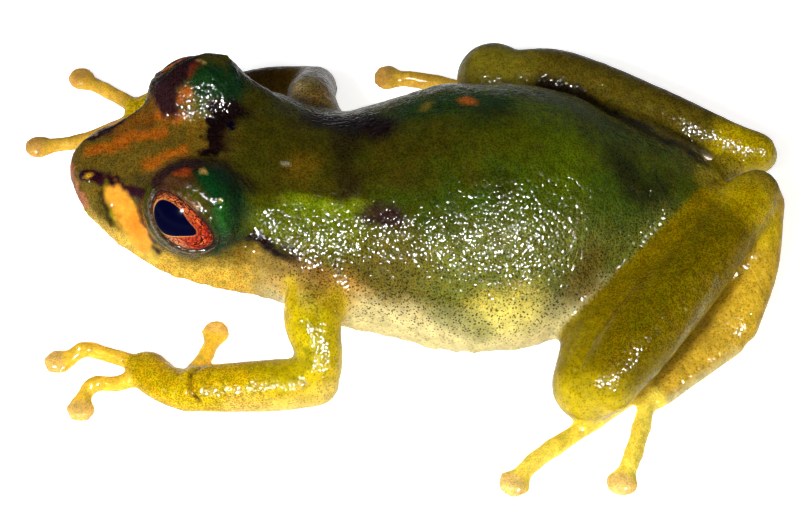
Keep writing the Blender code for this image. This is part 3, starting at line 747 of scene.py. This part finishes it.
LID_MARKS = [
    ((6, 46, 26), 0.8, 0.95, 0.5,
     [(3.1, -9.6, 9.9), (3.6, -8.7, 9.2), (4.4, -8.4, 8.5), (5.0, -8.8, 7.5), (5.3, -9.4, 6.9)]),
    (TEAL, 0.55, 0.95, 0.6,
     [(3.1, -10.4, 10.4), (3.9, -10.0, 10.3), (4.4, -9.5, 9.8), (5.1, -9.2, 8.9), (5.4, -9.3, 8.0)]),
    ((30, 88, 12), 0.4, 0.7, 0.8, [(4.7, -9.3, 9.4), (5.3, -9.3, 8.5)]),
    ((40, 18, 22), 0.6, 0.95, 0.5,
     [(2.8, -12.6, 9.6), (2.6, -12.1, 10.0), (2.4, -11.4, 10.2), (2.3, -10.7, 10.2)]),
    ((70, 42, 26), 0.42, 0.8, 0.6, [(3.5, -12.2, 9.7), (3.6, -11.6, 10.2), (3.5, -11.0, 10.4)]),
    ((148, 62, 20), 0.2, 0.9, 0.7, [(2.9, -11.8, 10.2), (3.0, -11.2, 10.4)]),
    ((158, 112, 70), 0.3, 0.8, 0.7, [(3.9, -12.2, 9.6), (4.5, -11.5, 9.7), (4.9, -10.8, 9.4)]),
    ((12, 54, 24), 0.85, 0.95, 0.5,
     [(-3.9, -10.0, 10.2), (-3.2, -10.4, 9.9), (-3.3, -9.3, 9.6), (-4.2, -8.8, 9.4)]),
    ((64, 80, 14), 0.3, 0.7, 0.8, [(-2.7, -10.9, 9.5), (-2.4, -10.6, 9.2)]),
    ((34, 12, 24), 0.85, 0.95, 0.45,
     [(-2.8, -12.4, 9.2), (-3.8, -12.8, 9.5), (-3.9, -12.0, 10.0), (-4.6, -11.6, 10.3)]),
    ((112, 44, 24), 0.22, 0.7, 0.9, [(-3.9, -11.1, 10.3), (-4.6, -10.9, 10.4)]),
    ((150, 84, 24), 0.3, 0.6, 0.9, [(-2.6, -11.3, 9.6)]),
    ((176, 150, 80), 0.16, 0.9, 0.6, [(-4.7, -10.9, 10.4), (-4.6, -10.6, 10.5)]),
    ((190, 160, 84), 0.22, 0.9, 0.6, [(2.95, -10.25, 10.35)]),
    ((160, 156, 56), 0.2, 0.85, 0.6, [(4.45, -9.45, 9.85)]),
]
paint(FACE_MARKS + LID_MARKS)
for line in lines_of([(2.0, -15.0, 7.1), (3.2, -14.1, 6.3), (4.2, -13.4, 5.4)], BOTH):
    speckle *= 1 - 0.75 * (1 - ease(0.6, 1.3, reach_of(line, marks) / 0.9))

# The umber patch between the eyes, with a ragged edge in front and behind
across = marks[:, 0] - HEAD_X
nape = ease(-10.45, -10.25, length + 0.3 * ripple[:, 1])
nape *= ease(-2.9, -2.4, across) * (1 - ease(0.9, 1.4, across))
nape *= 1 - ease(-9.7, -8.5, length - 0.9 * (1 - ease(-2.0, -0.6, across)))
wash(UMBER, nape * ease(8.1, 8.4, height) * (1 - ease(9.2, 9.6, height)))

BACK_MARKS = [
    (UMBER, 1.05, 1.0, 0.7, [(-2.6, -4.1, 8.0), (-2.2, -2.7, 8.4), (-1.2, -1.2, 9.1)]),
    (UMBER, 0.75, 0.65, 0.8, [(-0.6, -2.9, 8.8), (0.4, -3.0, 8.9), (1.6, -2.9, 8.8), (2.4, -2.6, 8.7)]),
    (LEAF, 0.6, 0.9, 0.8, [(3.3, -5.7, 8.0), (3.6, -3.8, 7.9), (3.9, -2.2, 8.1)]),
    ((96, 112, 4), 1.1, 0.7, 0.8, [(3.9, -7.2, 7.8), (4.6, -5.0, 7.4), (4.9, -3.0, 7.4)]),
    (PLUM, 0.5, 0.85, 0.6, [(4.1, -1.8, 8.1), (4.5, -0.3, 8.3)]),
    ((116, 90, 14), 0.8, 0.6, 0.9, [(1.1, -5.2, 8.7)]),
    ((14, 60, 8), 1.0, 0.75, 0.8, [(-2.4, 0.4, 9.3), (-2.4, 2.4, 9.8), (-2.0, 5.0, 10.0)]),
    (DEEP_GREEN, 1.0, 0.8, 0.8, [(-0.9, 4.7, 10.3)]),
    (DEEP_GREEN, 0.8, 0.35, 0.9, [(3.3, 5.1, 9.8)]),
    ((72, 80, 6), 1.1, 0.6, 0.9, [(-0.3, 5.6, 10.4), (1.2, 6.2, 10.2)]),
    ((84, 104, 6), 1.2, 0.6, 0.8, [(-1.9, 7.2, 9.7), (0.6, 8.8, 9.4), (2.6, 8.6, 8.9)]),
    ((24, 22, 14), 1.1, 0.75, 0.8, [(0.4, 11.6, 7.4), (1.4, 12.4, 6.9), (1.0, 13.8, 6.4)]),
    ((64, 74, 10), 0.7, 0.7, 0.7, [(0.2, 15.0, 5.9), (-0.4, 16.0, 5.4)]),
    ((58, 86, 6), 1.0, 0.6, 0.8, [(2.9, 10.6, 7.4), (2.8, 11.8, 6.6)]),
    (RUST, 0.42, 0.85, 0.6, [(-2.3, 3.4, 9.8)]),
    ((132, 112, 14), 0.36, 0.7, 0.7, [(-2.4, 1.4, 9.4)]),
    ((186, 128, 40), 0.27, 0.75, 0.7, [(4.0, 4.1, 9.3)]),
    ((70, 8, 56), 0.16, 1.0, 0.3, [(1.1, 7.2, 10.0)]),
    ((10, 6, 26), 0.32, 1.0, 0.2, [(-1.6, -9.0, 8.8)]),
    ((150, 146, 120), 0.17, 0.9, 0.3, [(0.9, -6.0, 8.7)]),
]
FLANK_MARKS = [
    (LEMON, 1.2, 0.8, 0.8, [(7.9, 4.6, 4.9), (7.7, 6.2, 4.9)], BOTH),
    ((112, 116, 56), 0.7, 0.7, 0.8, [(8.2, 2.2, 4.9), (8.4, 4.2, 3.9)]),
    ((104, 108, 50), 1.2, 0.5, 0.8, [(7.0, 8.4, 4.8)], BOTH),
    ((116, 84, 34), 0.9, 0.5, 0.8, [(5.4, 9.9, 5.9), (6.4, 9.4, 5.0)], BOTH),
    ((214, 160, 66), 0.9, 0.6, 0.8, [(6.9, -3.0, 5.2), (5.9, -6.0, 5.0)], BOTH),
    ((140, 112, 30), 0.8, 0.75, 0.8, [(5.6, -6.6, 5.6), (5.0, -8.4, 5.7)], BOTH),
    (UMBER, 0.32, 0.9, 0.6, [(x, y, z - 0.1) for x, y, z in FOLD], BOTH),
    (UMBER, 0.36, 0.95, 0.5, [(4.3, -8.3, 7.0), (4.8, -7.3, 6.7), (5.1, -6.6, 6.5), (5.4, -5.8, 6.2)]),
    ((84, 60, 24), 0.6, 0.6, 0.8, [(5.9, -5.9, 5.9), (6.4, -4.8, 6.2)], BOTH),
]
paint(BACK_MARKS + FLANK_MARKS)

# Limbs and digits, each coloured round its own middle line where it lies outside the trunk
GROIN_PLANE = (0.766, 0.979, 0.643)
GROIN_SHIFT = 12.01
WELL_OUTSIDE = 9
DIGIT_TONES = {
    "left": ((FINGERS, FINGER_YELLOW, FINGER_CREAM), (TOES, TOE_YELLOW, TOE_CREAM)),
    "right": ((FINGERS, SHADED_FAR_DIGIT, SHADED_FAR_PAD), (TOES, SHADED_FAR_DIGIT, SHADED_FAR_PAD)),
}


def nearness(rows):
    """Distance of each point from a limb's middle line, as a share of the limb's own radius."""
    best = np.full(count, 1e9)
    for row in smooth_path(rows, 4):
        radius = (row[3] + row[4]) / 2
        best = np.minimum(best, norm(places - row[:3], axis=1) / radius)
    return best


rise = np.maximum(height - along(SIDE_Z, length), 0)
trunk_share = np.hypot(aside, rise / (along(BACK_Z, length) - along(SIDE_Z, length)))
trunk_share[(length < SNOUT_Y) | (length > VENT_Y)] = WELL_OUTSIDE
slope = GROIN_PLANE[2] * places[:, 2] - GROIN_PLANE[0] * places[:, 0]
beyond_groin = ease(-0.12, 0.12, GROIN_PLANE[1] * places[:, 1] - GROIN_SHIFT - slope)
beyond_groin[places[:, 1] < 0] = 1
# The far limbs and digits get the darker copies, as painted shade for the side away from the light
for hand, arm_tone, leg_tone in (("left", LIMB_GOLD, LIMB_OLIVE), ("right", SHADED_FAR_ARM, SHADED_FAR_LEG)):
    limbs = ((UPPER_ARM, arm_tone), (THIGH, leg_tone), (FOREARM, arm_tone), (SHANK, leg_tone),
             (TARSUS, TARSUS_GOLD), (PALM, LIMB_GOLD), (FOOT, FOOT_GOLD))
    for rows, colour in limbs:
        mine = 1 - ease(1.1, 1.35, nearness(rows[hand]))
        if rows is UPPER_ARM or hand == "right":
            mine *= ease(0.95, 1.12, trunk_share)
        else:
            mine *= beyond_groin
        if rows is UPPER_ARM:
            mine *= 1 - ease(5.2, 5.9, places[:, 2])
        wash(colour, mine)
        dots += (0.5 - dots) * mine
        granules += (1.0 - granules) * mine
    for digits, digit_tone, pad_tone in DIGIT_TONES[hand]:
        for rows in digits[hand]:
            shaft = rows[1:] if digits is FINGERS else rows
            mine = 1 - ease(0.8, 1.25, nearness([(*row, 1.0, 1.0) for row in shaft]))
            wash(digit_tone, mine)
            dots *= 1 - 0.8 * mine
            speckle += (0.4 - speckle) * mine
            mine = 1 - ease(0.8, 1.2, norm(places - np.array(rows[-1]), axis=1))
            wash(pad_tone, 0.85 * mine)
            dots *= 1 - mine
            speckle += (0.45 - speckle) * mine
            granules += (0.15 - granules) * mine
LIMB_MARKS = [
    ((92, 90, 2), 1.0, 0.5, 0.8, [(9.0, 12.4, 5.2), (6.0, 14.4, 5.8), (3.0, 16.4, 5.6)]),
    ((200, 176, 16), 1.7, 0.8, 0.7, [(12.6, 8.8, 2.6), (12.9, 10.6, 2.6)]),
    ((148, 140, 84), 0.32, 0.65, 0.7,
     [(6.2, 16.4, 4.9), (8.0, 15.3, 4.3), (9.9, 13.9, 3.2), (11.6, 12.4, 3.0)]),
    ((152, 132, 2), 0.55, 0.8, 0.5, [(11.2, 8.8, 4.0), (9.8, 9.4, 4.4), (8.6, 9.9, 4.4)]),
    ((204, 180, 0), 1.5, 0.85, 0.6, [(-0.9, 17.6, 5.0), (0.4, 18.6, 5.2), (1.0, 19.4, 4.4)]),
    ((196, 176, 0), 1.7, 0.85, 0.6, [(-4.6, 18.6, 4.0), (-4.5, 19.6, 3.4)]),
    ((124, 114, 24), 1.4, 0.8, 0.7, [(-10.0, 5.0, 4.6), (-9.8, 6.2, 5.0)]),
    ((166, 154, 4), 0.9, 0.6, 0.8, [(9.9, -7.4, 2.9), (10.3, -5.6, 3.1)]),
    ((170, 160, 6), 1.0, 0.6, 0.8, [(8.6, -4.6, 5.2), (9.7, -4.4, 4.4)]),
    ((216, 186, 94), 1.0, 0.75, 0.7, [(12.2, -8.4, 1.4), (12.3, -4.6, 1.6), (11.6, -3.4, 2.2)]),
    # Painted shade: a thin dark green line in the elbow crease
    ((70, 82, 4), 0.2, 0.7, 0.8, [(9.9, -5.0, 3.9), (10.4, -4.6, 3.6)]),
    ((150, 132, 6), 1.1, 0.9, 0.5, [row[:3] for row in HEEL_SKIN]),
    ((140, 112, 14), 1.5, 0.6, 0.9, [FOREARM["right"][-1][:3]]),
    # Painted shade: an umber strip along the groove between the body and the far thigh, where shade falls
    (UMBER, 0.5, 0.9, 0.5, [(-8.1, 7.8, 5.0), (-6.0, 10.8, 5.0), (-3.4, 13.6, 5.6), (-2.2, 16.0, 5.0)]),
]
paint(LIMB_MARKS)
WRIST_CREASE = SKIN_FOLDS[0][0]
# Painted shade: a thin dark brown line along the wrist crease
wash(CREASE_SHADE, 0.9 * (1 - ease(0.05, 0.16, reach_of(WRIST_CREASE, places))))

for side in (-1, 1):
    edge, far = rim_distance(places, side)
    close = far < RIM_TONE_REACH
    lid = (far < LID_GRAIN_REACH) * ease(0.1, 0.4, edge) * ease(7.5, 8.5, height)
    granules += (1.3 - granules) * lid
    below = eye_angles(places, side)[1] <= 0
    wash(RIM_BROWN, 0.8 * np.exp(-(((edge - 0.02) / 0.07) ** 2)) * close)
    wash(RIM_GREY, 0.7 * np.exp(-(((edge - 0.16) / 0.05) ** 2)) * close * below)


def store(mesh, name, rows):
    """Keeps a vector or a colour for each point under a name that the material reads."""
    kind, field = ("FLOAT_VECTOR", "vector") if rows.shape[1] == 3 else ("FLOAT_COLOR", "color")
    mesh.attributes.new(name, kind, "POINT").data.foreach_set(field, rows.ravel())


store(skin.data, "tint", np.concatenate([tint, np.ones((count, 1))], 1))
store(skin.data, "marking", np.stack([dots, speckle, granules, np.ones(count)], 1))


# Skin surface
# The skin is wet, finely granular and a little translucent. Its material mottles the painted
# colours, adds two sizes of pigment dots, and raises the granules that the light sparkles on.

GRANULE_SIZES = {"Scale": 4000.0, "Randomness": 0.9}
GRANULE_HEIGHT, FRET_HEIGHT = 0.04, 0.034
DOT_SPREAD, DOT_EDGE = 0.95, 0.04
COARSE_DOTS = (0.145, 0.22, 0.42)
FINE_DOTS = (0.095, 0.36, 0.54)


def calculate(tree, operation, a, b):
    return add(tree, "ShaderNodeMath", {0: a, 1: b}, operation=operation).outputs[0]


def product(tree, a, b):
    return calculate(tree, "MULTIPLY", a, b)


def ramp(tree, value, low, high, start=0.0, end=1.0):
    """Maps a value smoothly from low..high to start..end."""
    node = add(tree, "ShaderNodeMapRange", {"Value": value, "From Min": low, "From Max": high,
                                            "To Min": start, "To Max": end},
               interpolation_type="SMOOTHSTEP")
    return node.outputs["Result"]


def mix(tree, share, a, b, blend="MIX"):
    node = add(tree, "ShaderNodeMix", {0: share, 6: a, 7: b}, data_type="RGBA", blend_type=blend)
    return node.outputs[2]


def cloudy(tree, place, scale, detail=2.0, roughness=0.5, output="Fac"):
    """Noise of a scale, with finer waves laid over it by detail and roughness."""
    node = add(tree, "ShaderNodeTexNoise", {"Vector": place, "Scale": scale, "Detail": detail,
                                            "Roughness": roughness})
    return node.outputs[output]


def dot_mask(tree, place, gap, least, most):
    """Round pigment dots about gap millimetres apart, with radii as shares of that gap."""
    cells = add(tree, "ShaderNodeTexVoronoi", {"Vector": place, "Scale": 1 / (gap * MM),
                                               "Randomness": DOT_SPREAD})
    grey = add(tree, "ShaderNodeSeparateColor", {"Color": cells.outputs["Color"]}).outputs[0]
    radius = ramp(tree, grey, 0.0, 1.0, least, most)
    rim = calculate(tree, "SUBTRACT", radius, cells.outputs["Distance"])
    return ramp(tree, rim, -DOT_EDGE, DOT_EDGE)


def dress_skin(made):
    made.use_nodes = True
    tree = made.node_tree
    place = add(tree, "ShaderNodeTexCoord").outputs["Object"]
    painted = add(tree, "ShaderNodeAttribute", attribute_name="tint").outputs["Color"]
    marking = add(tree, "ShaderNodeAttribute", attribute_name="marking").outputs["Color"]
    parts = add(tree, "ShaderNodeSeparateColor", {"Color": marking})
    dotted, speckled, granular = parts.outputs[:3]

    mottle = ramp(tree, cloudy(tree, place, 1500.0, 5.0, 0.65), 0.3, 0.7, 0.78, 1.22)
    grey = add(tree, "ShaderNodeCombineColor", {0: mottle, 1: mottle, 2: mottle}).outputs["Color"]
    colour = mix(tree, 1.0, painted, grey, "MULTIPLY")
    warmth = product(tree, ramp(tree, cloudy(tree, place, 2300.0, 3.0), 0.42, 0.62), speckled)
    colour = mix(tree, warmth, colour, mix(tree, 1.0, colour, (1.14, 0.97, 0.8, 1.0), "MULTIPLY"))
    inked = mix(tree, 1.0, colour, (0.16, 0.15, 0.2, 1.0), "MULTIPLY")
    browned = mix(tree, 1.0, colour, (0.48, 0.4, 0.36, 1.0), "MULTIPLY")
    colour = mix(tree, product(tree, dot_mask(tree, place, *COARSE_DOTS), dotted), colour, inked)
    colour = mix(tree, product(tree, dot_mask(tree, place, *FINE_DOTS), speckled), colour, browned)

    cells = add(tree, "ShaderNodeTexVoronoi", {"Vector": place, **GRANULE_SIZES})
    reach = cells.outputs["Distance"]
    dome = product(tree, calculate(tree, "SUBTRACT", 0.5, product(tree, reach, reach)), GRANULE_HEIGHT)
    fret = product(tree, cloudy(tree, place, 3900.0), FRET_HEIGHT)
    raised = product(tree, calculate(tree, "ADD", dome, fret), granular)
    bump = add(tree, "ShaderNodeBump", {"Height": raised, "Strength": 1.0, "Distance": MM})
    damp = cloudy(tree, place, 1700.0, 3.0)
    feed(tree, tree.nodes["Principled BSDF"], {
        "Base Color": colour, "Normal": bump.outputs["Normal"], "IOR": 1.3,
        "Roughness": ramp(tree, damp, 0.42, 0.62, 0.08, 0.2), "Subsurface Weight": 0.12,
        "Subsurface Radius": (1.0, 0.55, 0.25), "Subsurface Scale": 0.0006})


dress_skin(skin_material)
skin.data.materials.clear()
skin.data.materials.append(skin_material)
skin.data.shade_smooth()
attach(skin, "root")
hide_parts(*FLESH)


# Eyes
# Each eye is a wet round ball with a large blue-black pupil and a copper iris netted with black,
# edged in gold along the pupil. It sits behind the opening between the lids, and is painted by each
# point's angles along and across that opening, in quarter turns.

PUPIL_SHIFT, PUPIL_HALF_LENGTH = 0.06, 0.365
PUPIL_HALF_WIDTHS = (0.235, 0.12)
PUPIL_LIFTS = (0.055, -0.07)


def opaque(*colour):
    return (*tone(colour), 1)


def dress_eye():
    made = bpy.data.materials.new("copper_eye")
    made.use_nodes = True
    tree = made.node_tree
    sight = add(tree, "ShaderNodeAttribute", attribute_name="sight").outputs["Vector"]
    cut = add(tree, "ShaderNodeSeparateXYZ", {"Vector": sight})
    along_eye, across_eye, share = cut.outputs[:3]

    bent = cloudy(tree, sight, 6.0, 3.0, output="Color")
    warped = add(tree, "ShaderNodeMix", {0: 0.12, 4: sight, 5: bent}, data_type="VECTOR").outputs[1]
    net = add(tree, "ShaderNodeTexVoronoi", {"Vector": warped, "Scale": 13.0}, feature="DISTANCE_TO_EDGE")
    strand = ramp(tree, net.outputs["Distance"], 0.2, 0.04)
    patches = cloudy(tree, sight, 4.0, 4.0)
    copper = mix(tree, ramp(tree, along_eye, -0.5, 0.6), opaque(196, 110, 56), opaque(186, 38, 14))
    copper = mix(tree, ramp(tree, patches, 0.45, 0.7), copper, opaque(232, 112, 50))
    # Painted glint: the lower iris is paled towards pink-tan
    pale = ramp(tree, across_eye, -0.12, -0.26, 0.0, 0.7)
    copper = mix(tree, pale, copper, opaque(222, 150, 104))
    netted = product(tree, strand, ramp(tree, patches, 0.3, 0.6, 0.6, 1.0))
    colour = mix(tree, netted, copper, opaque(20, 6, 10))

    middle = calculate(tree, "ADD", along_eye, PUPIL_SHIFT)
    pupil_along = calculate(tree, "DIVIDE", middle, PUPIL_HALF_LENGTH)
    taper = ramp(tree, along_eye, -0.1, 0.36, *PUPIL_HALF_WIDTHS)
    lift = ramp(tree, along_eye, -0.02, 0.34, *PUPIL_LIFTS)
    pupil_across = calculate(tree, "DIVIDE", calculate(tree, "ADD", across_eye, lift), taper)
    squares = [product(tree, part, part) for part in (pupil_along, pupil_across)]
    reach = calculate(tree, "SQRT", calculate(tree, "ADD", *squares), 0.0)
    gilt = ramp(tree, across_eye, 0.05, -0.12, 0.15, 0.9)
    gold = product(tree, ramp(tree, reach, 1.13, 1.05), gilt)
    colour = mix(tree, gold, colour, opaque(232, 176, 96))
    colour = mix(tree, ramp(tree, reach, 1.05, 1.0), colour, opaque(2, 3, 30))
    colour = mix(tree, ramp(tree, share, 0.8, 1.0), colour, opaque(30, 12, 18))
    feed(tree, tree.nodes["Principled BSDF"], {
        "Base Color": colour, "Roughness": ramp(tree, cloudy(tree, sight, 3.0), 0.0, 1.0, 0.10, 0.14),
        "Coat Weight": 0.3, "Coat Roughness": 0.09, "Specular IOR Level": 0.0})
    return made


eye_material = dress_eye()
for name, side in (("eye_left", 1), ("eye_right", -1)):
    eye = ball(name + "_ball", eye_frame(side)[0], (EYE_RADIUS,) * 3, rings=40)
    points = np.array([v.co for v in eye.data.vertices]) / MM + MIDDLE
    long, short = eye_angles(points, side)[:2]
    share = np.hypot((long - RIM_SHIFT) / RIM_REACH[0], short / RIM_REACH[1])
    store(eye.data, "sight", np.stack([long / 90, short / 90, share], 1))
    eye.data.materials.append(eye_material)
    eye.data.shade_smooth()
    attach(eye, "root")
    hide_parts(name)


# Floor
# A white matt sheet, lit from below as well as from above, runs far past the animal on every side.
# Where the wet skin mirrors it, it is dimmed, and more so the farther it lies from the animal.

bpy.ops.mesh.primitive_plane_add(size=6.0)
floor = bpy.context.object
floor.name = "floor"
paper = bpy.data.materials.new("pale_paper")
paper.use_nodes = True
sheet = paper.node_tree
shader = sheet.nodes["Principled BSDF"]
ground = add(sheet, "ShaderNodeTexCoord").outputs["Object"]
fibre = cloudy(sheet, ground, 900.0)
feed(sheet, shader, {
    "Base Color": mix(sheet, fibre, (0.93, 0.93, 0.93, 1), (0.95, 0.95, 0.95, 1)), "Roughness": 0.9,
    "Specular IOR Level": 0.1, "Emission Color": (1, 1, 1, 1), "Emission Strength": 0.8})
mirrored_ray = add(sheet, "ShaderNodeLightPath").outputs["Is Glossy Ray"]
away = add(sheet, "ShaderNodeVectorMath", {0: ground}, operation="LENGTH").outputs["Value"]
dimmed = product(sheet, mirrored_ray, ramp(sheet, away, 0.014, 0.036, 0.42, 0.96))
dark = add(sheet, "ShaderNodeEmission", {"Strength": 0.0}).outputs["Emission"]
seen = add(sheet, "ShaderNodeMixShader", {0: dimmed, 1: shader.outputs["BSDF"], 2: dark})
feed(sheet, sheet.nodes["Material Output"], {"Surface": seen.outputs["Shader"]})
floor.data.materials.append(paper)


# Light
# The white sheet and a pale strip of dome round the horizon light the animal from below and from
# the side. Two soft lamps light it from above, a large one and a smaller main one, and two small
# bright ones, one of them to the rear, are seen only where the wet skin and the eyes mirror them.

world = bpy.data.worlds.new("studio")
bpy.context.scene.world = world
world.use_nodes = True
sky = world.node_tree
direction = add(sky, "ShaderNodeTexCoord").outputs["Generated"]
climb = add(sky, "ShaderNodeSeparateXYZ", {"Vector": direction}).outputs["Z"]
dome = mix(sky, ramp(sky, climb, 0.05, 0.25), (0.24, 0.28, 0.32, 1), (0.012, 0.013, 0.016, 1))
feed(sky, sky.nodes["Background"], {"Color": dome, "Strength": 1.0})


def lamp(name, place, size, power, colour, soft):
    """A lamp aimed at the animal, soft ones for its light and the others for their reflections."""
    light = bpy.data.lights.new(name, "AREA")
    light.shape = "RECTANGLE"
    light.size, light.size_y = (s * MM for s in size)
    light.energy = power
    light.color = colour
    stand = placed(name, light)
    stand.location = np.array(place) * MM
    stand.rotation_euler = (-Vector(stand.location)).to_track_quat("-Z", "Y").to_euler()
    stand.visible_glossy = not soft
    stand.visible_diffuse = soft


lamp("soft_lamp", (230, -60, 230), (180, 180), 0.52, (1.0, 0.98, 0.95), True)
lamp("main_lamp", (150, -75, 165), (40, 40), 0.42, (1.0, 0.99, 0.97), True)
lamp("flash", (150, -75, 165), (10, 19), 1.9, (1.0, 0.99, 0.97), False)
lamp("rear_flash", (150, 105, 150), (26, 10), 2.2, (1.0, 0.99, 0.97), False)


# Camera
# It looks down on the frog's left side at 50 degrees through a long lens, as in the photograph.

VIEW_HEIGHT = math.radians(50)
VIEW_DISTANCE = 222.0
FOCAL_PIXELS, PICTURE_PIXELS = 4085, 803
SENSOR = 36.0
AIM = np.array([0.25, 0.0, -0.21]) - MIDDLE

toward = np.array([math.cos(VIEW_HEIGHT), 0.0, math.sin(VIEW_HEIGHT)])
lens = bpy.data.cameras.new("camera")
lens.sensor_width = SENSOR
lens.lens = FOCAL_PIXELS / PICTURE_PIXELS * SENSOR
lens.clip_start = 0.01
camera = placed("camera", lens)
camera.location = (AIM + toward * VIEW_DISTANCE) * MM
camera.rotation_euler = Vector(-toward).to_track_quat("-Z", "Y").to_euler()
bpy.context.scene.camera = camera
bpy.context.scene.view_settings.view_transform = "Standard"
